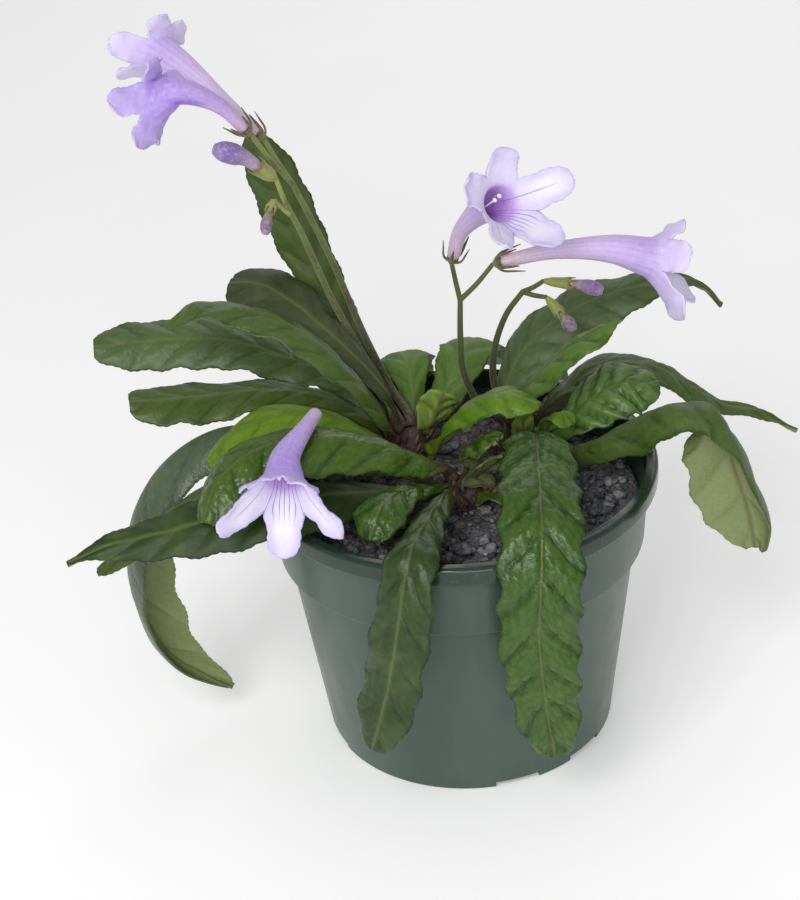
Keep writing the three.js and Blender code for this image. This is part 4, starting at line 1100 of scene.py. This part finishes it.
def make_scape(name, scape):
    shape = Shape()
    shade = scape["shade"]
    root, direction = seat_on(scape["knob"], *scape["seat"])
    stem = [root, root + 2 * direction, *scape["stem"]]
    points, faces, share = tube(stem, (SCAPE_RADIUS * 1.25, SCAPE_RADIUS, PEDICEL_RADIUS), 16, 90)
    shape.add(points, faces, (share * 0.8, 0, 0), (shade, 0, 0))
    for start, carried, sepals, cup in scape["pedicels"]:
        if carried in FLOWERS:
            axis, width = FLOWERS[carried]["axis"], TUBE_BASE * FLOWERS[carried]["mouth"]
        else:
            axis, width = BUDS[carried]["axis"], BUDS[carried]["radius"] * 0.7
        axis = np.array(axis, float)
        direction = unit(axis[1] - axis[0])
        end = axis[0] - CLEARANCE * direction
        collar = end - cup * direction
        start = vec(*start)
        sag = (start + collar) / 2 + vec(0, 0, -0.04) * np.linalg.norm(collar - start)
        points, faces, share = tube([start, sag, collar], (PEDICEL_RADIUS, PEDICEL_RADIUS * 0.85), 14, 30)
        shape.add(points, faces, (0.8 + 0.2 * share, 0, 0), (shade, 0, 0))
        points, faces, share = tube(
            [collar, (collar + end) / 2, end + direction * 0.3],
            (PEDICEL_RADIUS * 0.85, width * 0.9, width * 1.05, width * 1.1), 16, 14,
        )
        shape.add(points, faces, (0.95, 1, share * 0.4), (0, not sepals, 0))
        facing = unit(vec(0.3, 0.9, 0.2) - np.dot(vec(0.3, 0.9, 0.2), direction) * direction)
        other = np.cross(direction, facing)
        for i in range(5):
            turn = 2 * np.pi * (i + 0.5) / 5
            outward = facing * math.cos(turn) + other * math.sin(turn)
            if sepals:
                reach = [
                    (width * 0.5, -1.3), (width + 0.9, 0.2), (width + 1.7, sepals * 0.6),
                    (width + 2.2, sepals),
                ]
            else:
                reach = [(width * 0.75, -cup * 0.3), (width * 1.1, 0.3), (width * 1.25, 2.2)]
            spine = [end + outward * out + direction * up for out, up in reach]
            flat_side = np.cross(outward, direction)
            points, faces, share = tube(spine, SEPAL_RADII, 10, 16, squash=0.55, side=flat_side)
            shape.add(points, faces, (1, 1, share), (0, not sepals, 0))
    shape.piece(name.replace("scape_", "stalk_"), SCAPE, name)


# Crown: knobs of old leaf bases with scales on them, and the rhizome between them

def ball(centre, radii, rings, sides):
    """The points and faces of an egg. Each of its poles is one point."""
    lean = np.linspace(0, np.pi, rings)[:, None]
    turn = np.linspace(0, 2 * np.pi, sides, endpoint=False)[None, :]
    unit_ball = stacked(np.sin(lean) * np.cos(turn), np.sin(lean) * np.sin(turn), np.cos(lean))
    points = vec(*centre) + unit_ball.reshape(-1, 3) * vec(*radii)
    last = (rings - 1) * sides
    pole = {first + i: first for first in (0, last) for i in range(sides)}
    quads = grid_quads(rings, sides, wrap=True).tolist()
    faces = [tuple(dict.fromkeys(pole.get(i, i) for i in face)) for face in quads]
    used = sorted({i for face in faces for i in face})
    renumber = {old: new for new, old in enumerate(used)}
    return points[used], [tuple(renumber[i] for i in face) for face in faces if len(face) > 2]


def crown_rise(points):
    """How high points are on the crown, from 0 below the mix to 1 at the top."""
    return np.clip((points[:, 2] - 58) / 16, 0, 1)


def make_crown():
    shape = Shape()
    for centre, radii in KNOBS.values():
        points, faces = ball(centre, radii, 40, 60)
        outward = unit(points - vec(*centre))
        rough = 0.35 * noise(points * vec(1, 1, 0.35), 1.6, 5) + 0.15 * noise(points, 0.7, 6)
        points = points + outward * (rough - 0.2)[:, None]
        shape.add(points, faces, (crown_rise(points), 0, 0), (0, 0, 0))
    for start, end in (("left", "front"), ("front", "right"), ("left", "right")):
        low = vec(0, 0, -RHIZOME_DEPTH)
        a, b = vec(*KNOBS[start][0]) + low, vec(*KNOBS[end][0]) + low
        points, faces, share = tube([a, (a + b) / 2, b], (RHIZOME_RADIUS, RHIZOME_RADIUS), 28, 40)
        points = points + unit(points - (a + b) / 2) * 0.3 * noise(points, 1.8, 7)[:, None]
        shape.add(points, faces, (crown_rise(points), 0, 0), (0, 0, 0))
    # Short pointed scales stand on the knobs.
    draw = np.random.default_rng(5)
    for centre, radii in KNOBS.values():
        for _ in range(SCALES_PER_KNOB):
            turn, lift = draw.uniform(0, 2 * np.pi), draw.uniform(0.2, 1.1)
            outward = vec(math.cos(lift) * math.cos(turn), math.cos(lift) * math.sin(turn), math.sin(lift))
            start = vec(*centre) + outward * radii * 0.85
            length = 2 + 3.4 * draw.random() ** 1.5
            middle = start + outward * length * 0.6
            end = middle + (outward * 0.5 + vec(0, 0, 0.6)) * length * 0.6
            widths = [width * (0.7 + 0.16 * length) for width in (1, 1.15, 0.9, 0.1)]
            points, faces, share = tube([start, middle, end], widths, 12, 16, squash=0.4)
            shape.add(points, faces, (crown_rise(points), 1, share), (draw.random(), 0, 0))
    shape.piece("crown_fibrous", CROWN, "crown")


# Pot

def rounded(profile, radii, steps=6):
    """The profile with each corner that has a radius replaced by an arc."""
    profile = np.array(profile, float)
    result = [profile[0]]
    for before, corner, after, radius in zip(profile, profile[1:], profile[2:], radii[1:]):
        if not radius:
            result.append(corner)
            continue
        a, b = unit(before - corner), unit(after - corner)
        reach = radius / math.tan(math.acos(np.clip(np.dot(a, b), -1, 1)) / 2)
        reach = min(reach, np.linalg.norm(before - corner) / 2, np.linalg.norm(after - corner) / 2)
        start, end = corner + a * reach, corner + b * reach
        for t in np.linspace(0, 1, steps):
            result.append(start * (1 - t) ** 2 + 2 * corner * t * (1 - t) + end * t**2)
    result.append(profile[-1])
    return np.array(result)


def pot_inside(height):
    """The radius of the pot's inner wall below the collar."""
    return FOOT_RADIUS + (BODY_TOP_RADIUS - FOOT_RADIUS) / COLLAR_BOTTOM * height - WALL


def lathe(line, sides):
    """The surface that a line of radii and heights sweeps round the pot's axis, closed at its ends."""
    turn = np.linspace(0, 2 * np.pi, sides, endpoint=False)
    ring = np.stack([np.cos(turn), np.sin(turn)], -1)
    heights = np.broadcast_to(line[:, None, 1:], (len(line), sides, 1))
    points = np.concatenate([line[:, None, :1] * ring[None], heights], -1).reshape(-1, 3)
    last = (len(line) - 1) * sides
    caps = [tuple(range(sides)), tuple(range(last, last + sides))]
    return points, [*grid_quads(len(line), sides, wrap=True).tolist(), *caps]


def add_box(work, size, place, angle):
    """Adds a box to a mesh that is being built, and turns it about the pot's axis."""
    matrix = Matrix.Rotation(math.radians(angle), 4, "Z") @ Matrix.Translation(place)
    bmesh.ops.create_cube(work, size=1, matrix=matrix @ Matrix.Diagonal((*size, 1)))


def make_pot():
    lip_bottom = POT_HEIGHT - LIP_HEIGHT
    lip_inner = LIP_RADIUS - LIP_OVERHANG - EDGE_ROUNDING
    foot_inner = FOOT_RADIUS - FOOT_RING_WIDTH
    profile = [
        (0.01, FLOOR_RISE, 0), (foot_inner, FLOOR_RISE, 0), (foot_inner, 0, 0), (FOOT_RADIUS, 0, 0.8),
        (BODY_TOP_RADIUS, COLLAR_BOTTOM, 0.3), (COLLAR_RADIUS, COLLAR_BOTTOM + 0.2, 0.9),
        (LIP_RADIUS - LIP_OVERHANG, lip_bottom, 0.3), (LIP_RADIUS, lip_bottom, EDGE_ROUNDING),
        (LIP_RADIUS, POT_HEIGHT, RIM_ROUNDING), (lip_inner, POT_HEIGHT, EDGE_ROUNDING),
        (COLLAR_RADIUS - WALL, COLLAR_BOTTOM + 1, 0),
        (pot_inside(COLLAR_BOTTOM - 1.5), COLLAR_BOTTOM - 1.5, 0),
        (pot_inside(FLOOR_TOP + 2), FLOOR_TOP + 2, 0),
        (pot_inside(FLOOR_TOP + 2) - 2, FLOOR_TOP, 0), (0.01, FLOOR_TOP, 0),
    ]
    line = rounded([corner[:2] for corner in profile], [corner[2] for corner in profile])
    points, faces = lathe(line, POT_SIDES)
    shape = Shape()
    shape.add(points, faces, (points[:, 2] / POT_HEIGHT, 0, 0), (0, 0, 0))
    pot = shape.piece("pot_moulded", POT, "pot", sharp=40)
    cutter = bmesh.new()
    for group, start in itertools.product(range(NOTCH_GROUPS), NOTCH_TURNS):
        angle = start + group * 360 / NOTCH_GROUPS
        notch = (NOTCH_REACH, NOTCH_WIDTH, NOTCH_HEIGHT * 2)
        add_box(cutter, notch, (FOOT_RADIUS + 2 - NOTCH_REACH / 2, 0, 0), angle)
        slot = (SLOT_LENGTH, SLOT_WIDTH, FLOOR_TOP * 3)
        add_box(cutter, slot, (foot_inner - 1 - SLOT_LENGTH / 2, 0, FLOOR_TOP / 2), angle)
    place = Matrix.Translation(POT_AXIS * MM) @ Matrix.Scale(MM, 4)
    bmesh.ops.transform(cutter, matrix=place, verts=cutter.verts)
    tool = linked("cutter", as_mesh("cutter", cutter))
    cut = pot.modifiers.new("notches", "BOOLEAN")
    cut.operation, cut.solver, cut.object, cut.use_self = "DIFFERENCE", "EXACT", tool, True
    bpy.context.view_layer.update()
    shown = pot.evaluated_get(bpy.context.evaluated_depsgraph_get())
    notched = bpy.data.meshes.new_from_object(shown)
    pot.modifiers.clear()
    pot.data = notched
    bpy.data.objects.remove(tool)


# Potting mix: a closed body whose top is lumpy, covered with separate crumbs


def make_soil():
    draw = np.random.default_rng(11)
    rim = COLLAR_RADIUS - WALL + 0.6 - CLEARANCE
    sides, rings = 150, 46
    walls = [
        (0.01, FLOOR_TOP + 0.5), (pot_inside(FLOOR_TOP + 2) - 2.8, FLOOR_TOP + 0.5),
        (pot_inside(FLOOR_TOP + 3) - 0.5, FLOOR_TOP + 3),
        (pot_inside(COLLAR_BOTTOM - 2) - 0.5, COLLAR_BOTTOM - 2), (rim - 0.9, COLLAR_BOTTOM + 1.6),
        (rim, SOIL_TOP - SOIL_DIP - 1.2),
    ]
    surface = [
        (rim * (1 - i / rings), SOIL_TOP - SOIL_DIP * (1 - min(i / 6, 1))) for i in range(rings)
    ]
    line = np.array([*walls, *surface, (0.01, SOIL_TOP)])
    points, faces = lathe(line, sides)
    top = np.repeat(np.arange(len(line)) > len(walls), sides)
    lumps = 1.1 * noise(points, 5, 21) + 0.7 * noise(points, 2.2, 22) + 0.35 * noise(points, 1.1, 23)
    points[:, 2] += np.where(top, lumps, 0)
    shape = Shape()
    shape.add(points, faces, (0, 0, 0), (0.4 * noise(points, 4, 24), 0.2, 0))
    for crumb in range(CRUMBS):
        reach, turned = rim * math.sqrt(draw.random()) * 0.97, draw.random() * 2 * math.pi
        size = 0.5 + 1.2 * draw.random() ** 2
        centre = vec(reach * math.cos(turned), reach * math.sin(turned), 0)
        ground = SOIL_TOP - SOIL_DIP * smoothstep(reach, rim - 6, rim)
        centre[2] = ground + 0.4 * size
        radii = (size, size * (0.7 + 0.3 * draw.random()), size * (0.6 + 0.3 * draw.random()))
        points, faces = ball((0, 0, 0), radii, 8, 10)
        points = points * (1 + 0.45 * noise(points + crumb * 7.3, size * 0.8, 31))[:, None]
        shade, warmth = draw.uniform(-0.6, 0.9), draw.random() ** 7
        pale = float(draw.random() < 0.03) * (size < 1.1)
        clear = all(np.hypot(*(centre - vec(*knob))[:2]) > 6.5 + size for knob, _ in KNOBS.values())
        inside = reach + size < rim - 0.2
        if clear and inside:
            shape.add(points + centre, faces, (0, 0, 0), (shade, warmth, pale))
    shape.piece("potting_mix_lumpy", SOIL, "soil")


# Floor and light

FLOOR_HALF_WIDTH = 3000


def add_floor():
    half = FLOOR_HALF_WIDTH * MM
    work = bmesh.new()
    corners = [work.verts.new((x * half, y * half, 0)) for x, y in ((-1, -1), (1, -1), (1, 1), (-1, 1))]
    work.faces.new(corners)
    bmesh.ops.subdivide_edges(work, edges=work.edges, cuts=7, use_grid_fill=True)
    floor = linked("floor", as_mesh("floor", work))
    floor.data.materials.append(floor_finish())


def add_light(name, place, aim, size, power):
    """A square lamp, size metres wide, that faces the place to aim at."""
    data = bpy.data.lights.new(name, "AREA")
    data.size, data.energy = size, power
    back = unit(vec(*place) - vec(*aim))
    right = unit(np.cross(vec(0, 0, 1), back))
    up = np.cross(back, right)
    linked(name, data).matrix_world = pose(right, up, back, vec(*place) * MM)


def add_world(strength):
    world = bpy.data.worlds.new("studio")
    world.use_nodes = True
    background = world.node_tree.nodes["Background"].inputs
    background["Color"].default_value = (1, 1, 1, 1)
    background["Strength"].default_value = strength
    bpy.context.scene.world = world


# Each leaf finish gets the tint of its painted highlight, then the two colours of its underside.
LEAF = leaf_finish("leaf", (100, 120, 62), ((112, 125, 78), (136, 147, 100)))
YOUNG_LEAF = leaf_finish("young_leaf", (132, 158, 62), ((106, 132, 52), (130, 156, 72)))
PETAL, SCAPE, BUD = petal_finish(), scape_finish(), bud_finish()
CROWN, POT, SOIL = crown_finish(), pot_finish(), soil_finish()

bpy.context.scene.view_settings.view_transform = "Standard"
add_camera()
for seed, (name, leaf) in enumerate(LEAVES.items()):
    make_leaf(name, leaf, seed)
for make, table in ((make_flower, FLOWERS), (make_bud, BUDS), (make_scape, SCAPES)):
    for name, given in table.items():
        make(name, given)
make_crown()
make_pot()
make_soil()
add_floor()
add_world(0.44)
add_light("key", (-260, -600, 640), (0, 0, 60), 0.4, 3.6)
add_light("window", (80, -900, 340), (0, 0, 60), 0.4, 1.8)
add_light("top", (0, 200, 1300), (0, 200, 0), 1.3, 10)
add_light("back", (150, 800, 620), (0, 0, 60), 0.6, 1.2)
